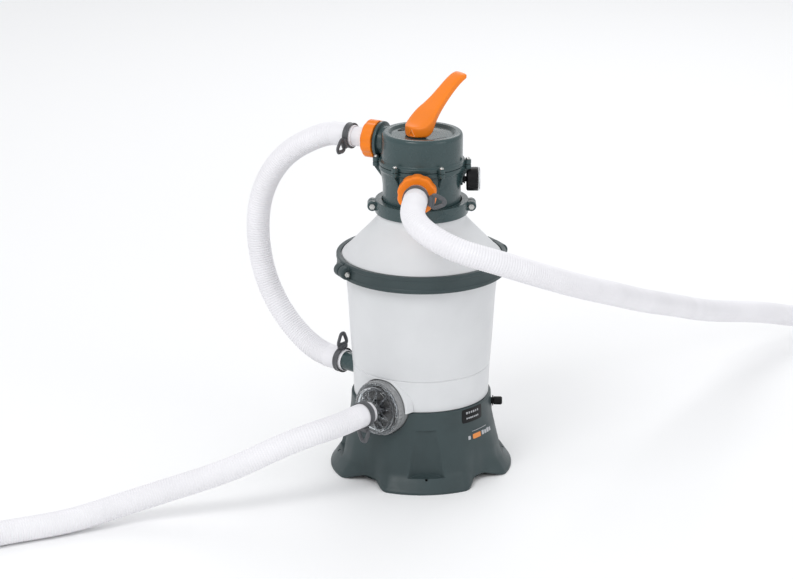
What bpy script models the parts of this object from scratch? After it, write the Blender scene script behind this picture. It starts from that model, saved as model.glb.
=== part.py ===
"""Sand-filter pump for an above-ground pool, in metres, +Z up, origin on the tank's axis at the floor.

The front of the pump is -Y. A bearing is an angle round the tank's axis, in degrees, 0 at the front
and 90 at the right (+X).
"""

import math

import bmesh
import bpy
import numpy as np
from mathutils import Matrix, Vector

# ---- driving dimensions ----

GAP = 0.0003  # clearance between two pieces that touch
ROUND = 24  # sides of a large turned piece
SMALL_ROUND = 12  # sides of a small one

# base
BASE_TOP = 0.125
BASE_WALL = 0.0035
BASE_TURN = 3.2  # bearing of the front foot
FOOT_COUNT = 4
ARCH_RISE = 0.010  # height of the arches between the feet
FLANK_HEIGHTS = (0.0, 0.003, 0.015, 0.026, 0.0345, 0.045, 0.071, 0.097, BASE_TOP)
FOOT_RADII = (0.1475, 0.1465, 0.1395, 0.132, 0.129, 0.127, 0.1205, 0.1145, 0.113)
ARCH_RADII = (0.1245, 0.1245, 0.1238, 0.1228, 0.1222, 0.1215, 0.118, 0.1142, 0.113)
NICHE_LOW, NICHE_HIGH = 0.0225, 0.097  # heights of the recess in each foot
SPIGOT_TOP = 0.137  # top of the rim that locates the tank
SPIGOT_RADIUS, SPIGOT_BORE = 0.1027, 0.0990
BOTTOM_RADIUS = 0.112
BOTTOM_PLATE = 0.004
DRAIN_RISER = 0.090  # radius of the drain pipe under the tank

# tank
TANK_LOW = BASE_TOP + GAP
TANK_FLOOR = 0.187
TANK_WALL = 0.0035
RING_LOW, RING_HIGH = 0.332, 0.359
RING_RADIUS = 0.136
FLANGE_RADIUS = 0.131
RING_SPLIT = -64.0  # bearing of the joint of the clamp at the left
RING_LUG_RADIUS = 0.0115

# neck and valve
NECK_RADIUS = 0.0625
NECK_FLANGE = 0.0695
NECK_LOW = 0.4305
VALVE_LOW = 0.4375
VALVE_RADIUS = 0.0618
VALVE_TOP = 0.506
COVER_RADIUS = 0.0645
COVER_TOP = 0.558
BOSS_CIRCLE = 0.0725
BOSS_FIRST = 24.5  # bearing of the first of the six cover screws
SCREW_COUNT = 6
PORT_RADIUS = 0.0235
NUT_RADIUS = 0.031
TAIL_RADIUS = 0.0155
RETURN_BEARING, RETURN_HEIGHT = -5.2, 0.480
WASTE_BEARING = 175.0
PUMP_PORT_BEARING, PUMP_PORT_HEIGHT = -118.0, 0.534
GAUGE_HEIGHT = 0.4795
GAUGE_RADIUS = 0.019
LEVER_BEARING = 128.0
PIVOT_HEIGHT = 0.5625

# pump
PUMP_BEARING = -40.0
PUMP_OFFSET = 0.010  # the pump's axis lies this far beside the tank's
PUMP_HEIGHT = 0.129
PUMP_BORE = 0.0455  # opening in the base and the tank round the strainer
STRAINER_RADIUS = 0.0375
OUTLET_RISE = 0.030
OUTLET_STATION = 0.046
OUTLET_REACH = 0.1424
MOTOR_RADIUS = 0.042

# hoses
HOSE_RADIUS = 0.019
CLAMP_BORE = HOSE_RADIUS + GAP
END_STRAIGHT = 0.012  # a short first span squares each end of a hose to its fitting
INLET_ROUTE = (
    (-0.0994, -0.1340, 0.129),
    (-0.1080, -0.1443, 0.129),
    (-0.1190, -0.1570, 0.1285),
    (-0.157, -0.187, 0.125),
    (-0.210, -0.205, 0.111),
    (-0.281, -0.222, 0.083),
    (-0.372, -0.236, 0.054),
    (-0.475, -0.262, 0.029),
    (-0.541, -0.295, 0.0205),
    (-0.628, -0.335, 0.0195),
    (-0.700, -0.371, 0.0195),
)
INLET_CURL_CENTRE = (-0.840, -0.266)
INLET_CURL_RADIUS = 0.158
RETURN_ROUTE = (
    (-0.0118, -0.1308, 0.480),
    (-0.0145, -0.160, 0.4795),
    (-0.0150, -0.192, 0.477),
    (-0.006, -0.224, 0.470),
    (0.018, -0.251, 0.4585),
    (0.055, -0.265, 0.444),
    (0.100, -0.262, 0.4285),
    (0.150, -0.243, 0.407),
    (0.235, -0.175, 0.3605),
    (0.300, -0.090, 0.318),
    (0.352, 0.010, 0.274),
    (0.400, 0.120, 0.2303),
    (0.445, 0.230, 0.187),
    (0.497, 0.335, 0.145),
    (0.560, 0.435, 0.1085),
    (0.630, 0.520, 0.0765),
    (0.705, 0.590, 0.045),
    (0.785, 0.648, 0.025),
    (0.865, 0.688, 0.0195),
)
LOOP_ROUTE = (
    (-0.1406, 0.0580, 0.159),
    (-0.1500, 0.0659, 0.1595),
    (-0.1700, 0.0820, 0.1645),
    (-0.200, 0.1030, 0.185),
    (-0.229, 0.119, 0.220),
    (-0.249, 0.130, 0.258),
    (-0.262, 0.137, 0.302),
    (-0.267, 0.139, 0.357),
    (-0.261, 0.136, 0.408),
    (-0.242, 0.127, 0.455),
    (-0.212, 0.112, 0.493),
    (-0.175, 0.0930, 0.5195),
    (-0.1420, 0.0757, 0.5330),
    (-0.1284, 0.0685, 0.534),
)

# colours: red, green, blue in linear light, roughness, metallic
FINISHES = {
    "grey_green": ((0.062, 0.084, 0.088), 0.42, 0.0),
    "slate": ((0.072, 0.112, 0.133), 0.30, 0.0),
    "tank_white": ((0.69, 0.70, 0.71), 0.38, 0.0),
    "hose_white": ((0.80, 0.80, 0.84), 0.45, 0.0),
    "orange": ((0.88, 0.22, 0.03), 0.35, 0.0),
    "black": ((0.012, 0.012, 0.014), 0.40, 0.0),
    "grey_clamp": ((0.10, 0.10, 0.11), 0.45, 0.0),
    "rubber": ((0.015, 0.015, 0.015), 0.80, 0.0),
    "clear": ((0.85, 0.88, 0.90), 0.08, 0.0),
    "steel": ((0.60, 0.60, 0.60), 0.28, 1.0),
    "copper": ((0.60, 0.28, 0.15), 0.35, 1.0),
}


# ---- tools ----


def clear_scene():
    for thing in list(bpy.data.objects):
        bpy.data.objects.remove(thing, do_unlink=True)


def finish(name):
    """The Principled material of one finish, made once."""
    made = bpy.data.materials.get(name)
    if made:
        return made
    colour, roughness, metallic = FINISHES[name]
    made = bpy.data.materials.new(name)
    made.use_nodes = True
    shader = made.node_tree.nodes["Principled BSDF"]
    shader.inputs["Base Color"].default_value = (*colour, 1.0)
    shader.inputs["Roughness"].default_value = roughness
    shader.inputs["Metallic"].default_value = metallic
    if name == "clear":
        shader.inputs["Alpha"].default_value = 0.35
    return made


def place(point=(0.0, 0.0, 0.0), axis=(0.0, 0.0, 1.0), side=(1.0, 0.0, 0.0)):
    """A matrix that takes local +Z to axis, and local +X as near to side as it can."""
    up = Vector(axis).normalized()
    across = Vector(side)
    across = (across - up * across.dot(up)).normalized()
    turn = Matrix((across, up.cross(across), up)).transposed()
    return Matrix.Translation(Vector(point)) @ turn.to_4x4()


def bearing(degrees, radius=1.0, height=0.0):
    """The point at a bearing and a radius round the tank's axis."""
    angle = math.radians(degrees)
    return Vector((radius * math.sin(angle), -radius * math.cos(angle), height))


def make(name, mesh, look, where=None, smooth=35.0):
    """An object from a bmesh, with its faces turned outwards."""
    bmesh.ops.recalc_face_normals(mesh, faces=mesh.faces)
    data = bpy.data.meshes.new(name)
    mesh.to_mesh(data)
    mesh.free()
    made = bpy.data.objects.new(name, data)
    bpy.context.scene.collection.objects.link(made)
    if where is not None:
        made.matrix_world = where
    if look:
        data.materials.append(finish(look))
        data.shade_smooth()
        data.set_sharp_from_angle(angle=math.radians(smooth))
    return made


def helper(mesh, where=None):
    """A hidden shape for a Boolean."""
    made = make("helper", mesh, None, where)
    made.hide_render = True
    made.display_type = "WIRE"
    return made


def combine(piece, operation, *shapes):
    for shape in shapes:
        step = piece.modifiers.new(operation.lower(), "BOOLEAN")
        step.operation = operation
        step.object = shape


def cut(piece, *shapes):
    combine(piece, "DIFFERENCE", *shapes)


def join(piece, *shapes):
    combine(piece, "UNION", *shapes)


def turned(profile, sides=ROUND, start=0.0, sweep=360.0):
    """A bmesh: the closed profile of (radius, height) points turned about Z, whole or through a sweep."""
    mesh = bmesh.new()
    whole = sweep >= 360.0
    stations = sides if whole else sides + 1
    rings = []
    for radius, height in profile:
        if radius < 1e-7:
            rings.append([mesh.verts.new((0.0, 0.0, height))] * stations)
            continue
        ring = []
        for k in range(stations):
            angle = math.radians(start + sweep * k / sides)
            ring.append(mesh.verts.new((radius * math.cos(angle), radius * math.sin(angle), height)))
        rings.append(ring)
    for low, high in zip(rings, rings[1:] + rings[:1]):
        for k in range(sides):
            corners = [low[k], low[(k + 1) % stations], high[(k + 1) % stations], high[k]]
            corners = list(dict.fromkeys(corners))
            if len(corners) > 2:
                mesh.faces.new(corners)
    if not whole:
        mesh.faces.new([ring[0] for ring in rings])
        mesh.faces.new([ring[-1] for ring in rings])
    return mesh


def rod(radius, low, high, sides=SMALL_ROUND):
    return turned([(0.0, low), (radius, low), (radius, high), (0.0, high)], sides)


def tube(inner, outer, low, high, sides=ROUND):
    return turned([(inner, low), (outer, low), (outer, high), (inner, high)], sides)


def block(size, centre=(0.0, 0.0, 0.0)):
    mesh = bmesh.new()
    bmesh.ops.create_cube(mesh, size=1.0, matrix=Matrix.Translation(centre) @ Matrix.Diagonal((*size, 1.0)))
    return mesh


def prism(outline, low, high):
    """A bmesh: a flat outline of (x, y) points, carried from one height to another."""
    mesh = bmesh.new()
    ends = [[mesh.verts.new((x, y, z)) for x, y in outline] for z in (low, high)]
    mesh.faces.new(ends[0])
    mesh.faces.new(ends[1])
    for k in range(len(outline)):
        after = (k + 1) % len(outline)
        mesh.faces.new([ends[0][k], ends[0][after], ends[1][after], ends[1][k]])
    return mesh


def loft(sections):
    """A bmesh: closed sections with the same number of points, skinned and capped."""
    mesh = bmesh.new()
    rings = [[mesh.verts.new(point) for point in section] for section in sections]
    count = len(rings[0])
    for low, high in zip(rings, rings[1:]):
        for k in range(count):
            after = (k + 1) % count
            mesh.faces.new([low[k], low[after], high[after], high[k]])
    mesh.faces.new(rings[0])
    mesh.faces.new(rings[-1])
    return mesh


def fused(*meshes):
    """One bmesh holding the shapes of several, for a hidden Boolean shape."""
    whole = meshes[0]
    for other in meshes[1:]:
        data = bpy.data.meshes.new("spare")
        other.to_mesh(data)
        other.free()
        whole.from_mesh(data)
        bpy.data.meshes.remove(data)
    return whole


def moved(mesh, matrix):
    mesh.transform(matrix)
    return mesh


def arc(centre, radii, first, last, steps):
    """Points on an arc of an ellipse in the plane of a profile, angles in degrees from +radius."""
    angles = [math.radians(first + (last - first) * k / steps) for k in range(steps + 1)]
    return [(centre[0] + radii[0] * math.cos(a), centre[1] + radii[1] * math.sin(a)) for a in angles]


# ---- base ----


def foot_share(degrees):
    """1 over a foot, 0 in an arch, and a smooth step between them."""
    spacing = 360.0 / FOOT_COUNT
    off = abs((degrees - BASE_TURN + spacing / 2) % spacing - spacing / 2)
    step = min(max((42.0 - off) / 17.0, 0.0), 1.0)
    return step * step * (3.0 - 2.0 * step)


def niche_radius(degrees, height):
    """Radius of the back of the recess in a foot, or a large one beside it."""
    spacing = 360.0 / FOOT_COUNT
    off = math.radians((degrees - BASE_TURN + spacing / 2) % spacing - spacing / 2)
    if not NICHE_LOW < height < NICHE_HIGH:
        return 1.0
    rise = (height - NICHE_LOW) / (NICHE_HIGH - NICHE_LOW)
    half_width = 0.034 - 0.008 * rise
    depth = 0.034 - 0.022 * rise
    back = 0.116 - 0.0065 * rise
    radius = 0.13
    for _ in range(4):
        across = min(abs(radius * math.sin(off)) / half_width, 1.0)
        if across >= 1.0:
            return 1.0
        radius = (back + depth * (1.0 - math.sqrt(1.0 - across * across))) / math.cos(off)
    return radius


def base_radius(degrees, height, with_niche=True):
    share = foot_share(degrees)
    foot = float(np.interp(height, FLANK_HEIGHTS, FOOT_RADII))
    arch = float(np.interp(height, FLANK_HEIGHTS, ARCH_RADII))
    radius = arch + (foot - arch) * share
    return min(radius, niche_radius(degrees, height)) if with_niche else radius


def base_shell():
    """The skirt on four feet: outer and inner walls on one grid of bearings, with a rim under the tank."""
    sides = 52
    step = 0.0004
    outer = (0.0, 0.015, NICHE_LOW, NICHE_LOW + step, 0.045, 0.071)
    outer = outer + (NICHE_HIGH - step, NICHE_HIGH, BASE_TOP)
    floor_drop = NICHE_LOW - BASE_WALL
    inner = (NICHE_HIGH + BASE_WALL, NICHE_HIGH + BASE_WALL - step, 0.071, 0.045)
    inner = inner + (floor_drop + step, floor_drop, 0.0)
    mesh = bmesh.new()
    columns = []
    for k in range(sides):
        degrees = 360.0 * k / sides
        rise = ARCH_RISE * (1.0 - foot_share(degrees))
        points = []
        for height in outer:
            lifted = max(height, rise + 0.25 * height) if height < 0.015 else height
            points.append(bearing(degrees, base_radius(degrees, height), lifted))
        points.append(bearing(degrees, SPIGOT_RADIUS, BASE_TOP))
        points.append(bearing(degrees, SPIGOT_RADIUS, SPIGOT_TOP))
        points.append(bearing(degrees, SPIGOT_BORE, SPIGOT_TOP))
        points.append(bearing(degrees, SPIGOT_BORE, 0.118))
        for height in inner:
            probe = height
            if floor_drop < height < NICHE_LOW + step:
                probe = NICHE_LOW + step
            if NICHE_HIGH - step < height < NICHE_HIGH + BASE_WALL:
                probe = NICHE_HIGH - step
            lifted = max(height, rise + 0.25 * height) if height < 0.015 else height
            points.append(bearing(degrees, base_radius(degrees, probe) - BASE_WALL, lifted))
        columns.append([mesh.verts.new(point) for point in points])
    count = len(columns[0])
    for k in range(sides):
        here, there = columns[k], columns[(k + 1) % sides]
        for j in range(count):
            up = (j + 1) % count
            mesh.faces.new([here[j], there[j], there[up], here[up]])
    return mesh


def pump_point(station, beside=0.0, above=0.0):
    """A point by its distance along the pump's axis, beside it and above it."""
    along = bearing(PUMP_BEARING)
    across = bearing(PUMP_BEARING + 90.0)
    point = along * station + across * (PUMP_OFFSET + beside)
    point.z = PUMP_HEIGHT + above
    return point


def pump_place(station=0.0):
    return place(pump_point(station), bearing(PUMP_BEARING), (0.0, 0.0, 1.0))


def outlet_place():
    """Along the pump's outlet pipe, from the point where it crosses the pump's axis."""
    start = pump_point(OUTLET_STATION, -PUMP_OFFSET, OUTLET_RISE)
    return place(start, -bearing(PUMP_BEARING + 90.0), (0, 0, 1))


def build_base():
    shell = make("base_housing", base_shell(), "grey_green", smooth=28.0)
    ledge = NICHE_LOW - BASE_WALL
    holes = []
    for k in range(FOOT_COUNT):
        centre = bearing(BASE_TURN + 90.0 * k, 0.1345)
        holes.append(moved(rod(0.003, ledge - 0.004, NICHE_LOW + 0.004, 10), Matrix.Translation(centre)))
    cut(shell, helper(fused(*holes)))
    cut(shell, helper(rod(PUMP_BORE, 0.078, 0.17, ROUND), pump_place()))
    pocket = turned([(0.1113, 0.1003), (0.13, 0.1003), (0.13, 0.1237), (0.1113, 0.1237)], 8, -56.2, 24.4)
    cut(shell, helper(pocket))
    cut(shell, helper(rod(0.0062, 0.09, 0.14, 16), place((0, 0, 0.107), bearing(88.0))))
    cut(shell, helper(rod(0.0075, 0.09, 0.14, 16), place((0, 0, 0.045), bearing(138.0))))
    cut(shell, helper(rod(0.0160, 0.06, 0.14, 16), outlet_place()))

    bottom = make("bottom_cover", rod(BOTTOM_RADIUS, 0.0, BOTTOM_PLATE, 36), "grey_green")
    saddles = []
    for station in (-0.060, -0.004):
        point = pump_point(station)
        saddle = block((0.006, 0.064, 0.112), (0.0, 0.0, 0.058))
        turn = Matrix.Rotation(math.radians(PUMP_BEARING - 90.0), 4, "Z")
        saddles.append(moved(saddle, Matrix.Translation((point.x, point.y, 0.0)) @ turn))
    join(bottom, helper(fused(*saddles)))
    cut(bottom, helper(rod(MOTOR_RADIUS + GAP, -0.12, 0.03, ROUND), pump_place()))

    plate = turned([(0.1117, 0.1006), (0.1134, 0.1006), (0.1134, 0.1234), (0.1117, 0.1234)], 8, -55.8, 23.6)
    make("label_panel", plate, "black")

    spout = [(0.0, 0.104), (0.0055, 0.104), (0.0055, 0.1150), (0.0085, 0.1150)]
    spout += [(0.0085, 0.1164), (0.0050, 0.1170), (0.0050, 0.1235), (0.0, 0.1235)]
    drain = make("drain_spout", turned(spout, 16), "black", place((0, 0, 0.107), bearing(88.0)))
    riser = place((*bearing(88.0, DRAIN_RISER).xy, 0.107), (0, 0, 1))
    join(drain, helper(rod(0.0047, 0.089, 0.1095, 14), place((0, 0, 0.107), bearing(88.0))))
    join(drain, helper(rod(0.0053, -0.007, TANK_FLOOR - GAP - 0.107, 18), riser))
    cut(drain, helper(rod(0.0028, 0.0895, 0.13, 10), place((0, 0, 0.107), bearing(88.0))))
    cut(drain, helper(rod(0.0034, -0.0031, 0.2, 14), riser))
    cap = [(0.0, 0.1240), (0.0053, 0.1240), (0.0053, 0.1175), (0.0068, 0.1175), (0.0068, 0.1285)]
    cap += arc((0.0038, 0.1285), (0.0030, 0.0030), 0.0, 60.0, 2) + [(0.0, 0.1315)]
    make("drain_cap", turned(cap, 16), "black", place((0, 0, 0.107), bearing(88.0)))

    gland = [(0.0035, 0.1150), (0.0070, 0.1150), (0.0070, 0.1225), (0.0095, 0.1240), (0.0095, 0.1280)]
    gland += [(0.0060, 0.1360), (0.0035, 0.1360)]
    make("cable_gland", turned(gland, 16), "black", place((0, 0, 0.045), bearing(138.0)))


# ---- pump ----


def build_strainer():
    where = pump_place()
    body = [(0.014, 0.0625), (STRAINER_RADIUS, 0.0625), (STRAINER_RADIUS, 0.1115), (0.0445, 0.1120)]
    body += [(0.0445, 0.1205), (0.0385, 0.1205), (0.0385, 0.1160), (0.0345, 0.1160)]
    body += [(0.0345, 0.0655), (0.014, 0.0655)]
    make("strainer_body", turned(body), "black", where)

    basket = [(0.0, 0.0700), (0.0310, 0.0700), (0.0320, 0.1150), (0.0335, 0.1170)]
    basket += [(0.0305, 0.1170), (0.0295, 0.0720), (0.0, 0.0720)]
    make("strainer_basket", turned(basket, 20), "grey_clamp", where)

    cover = [(0.0125, 0.1652), (0.0125, 0.1310), (0.0330, 0.1285), (0.0340, 0.1210), (0.0425, 0.1210)]
    cover += [(0.0425, 0.1260), (0.0368, 0.1268)] + arc((0.0328, 0.1300), (0.0040, 0.0040), 0.0, 75.0, 3)
    cover += [(0.0172, 0.1370), (0.0155, 0.1385), (0.0155, 0.1652)]
    make("strainer_cover", turned(cover), "clear", where)


def build_pump():
    where = pump_place()
    volute = [(0.013, 0.0620), (0.0425, 0.0620)] + arc((0.0425, 0.0585), (0.0035, 0.0035), 75.0, 0.0, 2)
    volute += [(0.046, 0.0300), (0.0425, 0.0300), (0.0425, 0.0590), (0.013, 0.0590)]
    casing = make("pump_casing", turned(volute), "grey_green", where)
    along = outlet_place()
    join(casing, helper(rod(0.0150, 0.022, OUTLET_REACH, 18), along))
    cut(casing, helper(rod(0.0405, 0.0300 + 0.003, 0.0588, ROUND), where))
    cut(casing, helper(rod(0.0120, 0.015, OUTLET_REACH + 0.01, 14), along))

    impeller = make("impeller", tube(0.0043, 0.036, 0.0410, 0.0435, 20), "black", where)
    vanes = [tube(0.0043, 0.011, 0.0430, 0.0540, 14)]
    for k in range(6):
        vane = block((0.026, 0.002, 0.0085), (0.0220, 0.0, 0.0470))
        vanes.append(moved(vane, Matrix.Rotation(math.radians(60.0 * k), 4, "Z")))
    for vane in vanes:
        join(impeller, helper(vane, where))

    shaft = [(0.0, -0.0790), (0.0040, -0.0790), (0.0040, -0.0570), (0.0210, -0.0570), (0.0210, 0.0050)]
    shaft += [(0.0040, 0.0050), (0.0040, 0.0555), (0.0, 0.0555)]
    make("motor_rotor", turned(shaft, 18), "steel", where)
    make("motor_stator", tube(0.0220, 0.0380, -0.0550, 0.0030, 24), "copper", where)

    can = [(0.0, -0.0830), (0.0380, -0.0830)] + arc((0.0380, -0.0790), (0.0040, 0.0040), -45.0, 0.0, 1)
    can += [(0.0420, 0.0200), (0.0385, 0.0200), (0.0385, -0.0755), (0.0113, -0.0755)]
    can += [(0.0113, -0.0800), (0.0, -0.0800)]
    make("motor_housing", turned(can), "black", where)
    front = [(0.0046, 0.0235), (0.0046, 0.0275), (0.0440, 0.0275), (0.0440, 0.0203), (0.0380, 0.0203)]
    front += [(0.0380, 0.0165), (0.0350, 0.0165), (0.0350, 0.0235)]
    plate = make("motor_front_plate", turned(front), "black", where)
    seat = [(0.0113, 0.0160), (0.0145, 0.0160), (0.0145, 0.0240), (0.0113, 0.0240)]
    join(plate, helper(turned(seat, 16), where))
    make("bearing_front", tube(0.0043, 0.0110, 0.0160, 0.0230, 16), "steel", where)
    make("bearing_rear", tube(0.0043, 0.0110, -0.0790, -0.0725, 16), "steel", where)
    seal = [(0.0043, 0.0290), (0.0120, 0.0290), (0.0120, 0.0320), (0.0080, 0.0330)]
    seal += [(0.0080, 0.0405), (0.0043, 0.0405)]
    make("shaft_seal", turned(seal, 16), "rubber", where)


# ---- tank ----


def build_tank():
    wall = TANK_WALL
    body = [(0.1085, TANK_LOW), (0.1105, 0.1825), (0.1112, 0.1840), (0.1178, 0.2900), (0.1212, 0.3250)]
    body += [(0.1222, 0.3300), (0.1222, 0.3368), (FLANGE_RADIUS, 0.3368), (FLANGE_RADIUS, 0.3425)]
    body += [(0.1180, 0.3425)]
    body += [(0.1212 - wall, 0.3240), (0.1178 - wall, 0.2900), (0.1112 - wall, 0.2000), (0.0900, 0.1910)]
    body += [(0.0, 0.1910), (0.0, TANK_FLOOR), (0.1040, TANK_FLOOR), (0.1040, TANK_LOW)]
    tank = make("tank_body", turned(body, 28), "tank_white")
    cut(tank, helper(rod(PUMP_BORE, 0.085, 0.17, ROUND), pump_place()))
    cut(tank, helper(rod(0.0160, 0.06, 0.14, 16), outlet_place()))
    cut(tank, helper(rod(0.0030, 0.17, 0.20, 12), place((*bearing(88.0, DRAIN_RISER).xy, 0.0))))

    low, high = 0.3445, 0.3547
    outer = [(FLANGE_RADIUS, low), (FLANGE_RADIUS, high), (0.1272, high)]
    outer += [(0.1268, 0.3580), (0.1225, 0.3620), (0.1165, 0.3680), (0.1085, 0.3765), (0.0970, 0.3890)]
    outer += [(0.0830, 0.4030), (0.0745, 0.4130), (0.0705, 0.4215)]
    outer += [(NECK_RADIUS, 0.4268), (NECK_RADIUS, NECK_LOW), (NECK_FLANGE, NECK_LOW), (NECK_FLANGE, 0.4355)]
    inner = [(0.0560, 0.4355), (0.0560, 0.4220), (0.0665, 0.4190), (0.0705, 0.4110), (0.0795, 0.4005)]
    inner += [(0.0935, 0.3865), (0.1050, 0.3740), (0.1130, 0.3655), (0.1187, 0.3595), (0.1190, low)]
    make("tank_dome", turned(outer + inner, 28), "tank_white")
    make("tank_seal", tube(0.1190, 0.1290, 0.3428, 0.3442, 24), "rubber")

    build_tank_clamp()

    make("standpipe", tube(0.0100, 0.0125, 0.2120, 0.4780, 14), "tank_white")
    hub = make("lateral_hub", rod(0.0200, 0.1960, 0.2115, 16), "tank_white")
    arms = []
    for k in range(8):
        arm = rod(0.0050, 0.010, 0.0880, 6)
        arms.append(moved(arm, place((0, 0, 0.2035), bearing(22.5 + 45.0 * k))))
    join(hub, helper(fused(*arms)))
    cut(hub, helper(rod(0.0098, 0.2000, 0.2200, 14)))


def ring_profile(low, high, web, outer, lower_lip, upper_lip, lip):
    """The clamp's channel section: a web with a lip under one flange and over the other."""
    return [
        (lower_lip, low),
        (outer - 0.002, low),
        (outer, low + 0.002),
        (outer, high - 0.002),
        (outer - 0.002, high),
        (upper_lip, high),
        (upper_lip, high - lip),
        (web, high - lip),
        (web, low + lip),
        (lower_lip, low + lip),
    ]


def half_ring(profile, first, sides):
    """Half a turned ring, from a bearing, with a small gap at each end."""
    return turned(profile, sides, first - 90.0 + 0.25, 179.5)


def build_tank_clamp():
    section = ring_profile(RING_LOW, RING_HIGH, 0.1325, RING_RADIUS, 0.1236, 0.1286, 0.0040)
    height = (RING_LOW + RING_HIGH) / 2
    for name, first in (("tank_clamp_front", RING_SPLIT), ("tank_clamp_rear", RING_SPLIT + 180.0)):
        half = make(name, half_ring(section, first, 14), "grey_green")
        for end, along in ((first, 1.0), (first + 180.0, -1.0)):
            lug = rod(RING_LUG_RADIUS, 0.0012, 0.0150, 12)
            spot = place(bearing(end, 0.1350, height), bearing(end + 90.0) * along, (0, 0, 1))
            inner = tube(0.10, 0.1325, RING_LOW - 0.01, RING_HIGH + 0.01, 28)
            shape = helper(lug, spot)
            cut(shape, helper(inner))
            join(half, shape)
            hole = place(bearing(end, 0.1412, height), bearing(end + 90.0) * along, (0, 0, 1))
            cut(half, helper(rod(0.0030, -0.004, 0.020, 8), hole))
    for name, end in (("tank_bolt_left", RING_SPLIT), ("tank_bolt_right", RING_SPLIT + 180.0)):
        spot = place(bearing(end, 0.1412, height), bearing(end + 90.0), (0, 0, 1))
        bolt = [(0.0, -0.0195), (0.0045, -0.0195), (0.0045, -0.0153), (0.0027, -0.0153), (0.0027, 0.0153)]
        bolt += [(0.0048, 0.0153), (0.0048, 0.0200), (0.0030, 0.0200), (0.0030, 0.0245), (0.0, 0.0245)]
        make(name, turned(bolt, 8), "steel", spot)


# ---- valve ----


def boss_ring(low, high):
    bosses = []
    for k in range(SCREW_COUNT):
        centre = bearing(BOSS_FIRST + 60.0 * k, BOSS_CIRCLE)
        bosses.append(moved(rod(0.0055, low, high, 8), Matrix.Translation(centre)))
    return helper(fused(*bosses))


def screw_holes():
    holes = []
    for k in range(SCREW_COUNT):
        centre = bearing(BOSS_FIRST + 60.0 * k, BOSS_CIRCLE)
        holes.append(moved(rod(0.0021, 0.48, 0.54, 6), Matrix.Translation(centre)))
    return helper(fused(*holes))


def port_place(degrees, height):
    return place((0, 0, height), bearing(degrees), (0, 0, 1))


def build_valve_body():
    body = [(0.0130, VALVE_LOW), (NECK_FLANGE, VALVE_LOW), (NECK_FLANGE, 0.4435), (VALVE_RADIUS, 0.4440)]
    body += [(VALVE_RADIUS, 0.4750), (0.0665, 0.4975), (0.0685, 0.4995), (0.0685, VALVE_TOP)]
    body += [(0.0580, VALVE_TOP), (0.0575, 0.4470), (0.0130, 0.4470)]
    valve = make("valve_body", turned(body, 24), "slate")
    join(valve, boss_ring(0.4995, VALVE_TOP))
    ribs = [tube(0.0130, 0.0165, 0.4460, 0.5045, 14)]
    for k in range(3):
        for side in (-1.0, 1.0):
            rib = block((0.0440, 0.0030, 0.0585), (side * 0.0370, 0.0, 0.47525))
            ribs.append(moved(rib, Matrix.Rotation(math.radians(60.0 * k), 4, "Z")))
    join(valve, *[helper(rib) for rib in ribs])
    for degrees in (RETURN_BEARING, WASTE_BEARING):
        spot = port_place(degrees, RETURN_HEIGHT)
        join(valve, helper(rod(PORT_RADIUS, 0.0590, 0.0830, 20), spot))
        cut(valve, helper(rod(0.0145, 0.0480, 0.0900, 16), spot))
    cut(valve, screw_holes())
    cut(valve, helper(rod(0.0063, 0.050, 0.070, 16), port_place(90.0, GAUGE_HEIGHT)))
    cut(valve, helper(rod(0.0090, 0.42, 0.46, 16), place(bearing(150.0, 0.036))))


def build_valve_cover():
    cover = [(0.0080, 0.5475), (0.0605, 0.5475), (0.0610, 0.5070), (0.0610, VALVE_TOP + GAP)]
    cover += [(0.0685, VALVE_TOP + GAP), (0.0685, 0.5125), (0.0665, 0.5135), (COVER_RADIUS, 0.5145)]
    cover += [(COVER_RADIUS, 0.5530)] + arc((0.0600, 0.5530), (0.0045, 0.0050), 15.0, 90.0, 3)
    cover += [(0.0540, COVER_TOP), (0.0500, 0.5530), (0.0300, 0.5515), (0.0080, 0.5515)]
    shell = make("valve_cover", turned(cover, 24), "slate")
    join(shell, boss_ring(VALVE_TOP + GAP, 0.5135))
    spot = port_place(PUMP_PORT_BEARING, PUMP_PORT_HEIGHT)
    neck = [(0.0, 0.0575), (0.0180, 0.0575), (0.0180, 0.0630), (PORT_RADIUS, 0.0630)]
    neck += [(PORT_RADIUS, 0.0800), (0.0, 0.0800)]
    rim = tube(0.0100, 0.0300, 0.0690, 0.0738, 24)
    neck_shape = helper(turned(neck, 20), spot)
    join(neck_shape, helper(rim, spot))
    cut(neck_shape, helper(rod(0.0606, 0.4, 0.6, 30)))
    join(shell, neck_shape)
    cut(shell, helper(rod(0.0115, 0.0500, 0.0950, 14), spot))
    cut(shell, screw_holes())

    screw = [(0.0, 0.4998), (0.0018, 0.4998), (0.0018, 0.5138), (0.0038, 0.5138)]
    screw += [(0.0038, 0.5155), (0.0026, 0.5168), (0.0, 0.5168)]
    for k in range(SCREW_COUNT):
        spot = place(bearing(BOSS_FIRST + 60.0 * k, BOSS_CIRCLE))
        make(f"cover_screw_{k + 1}", turned(screw, 8), "steel", spot)


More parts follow.
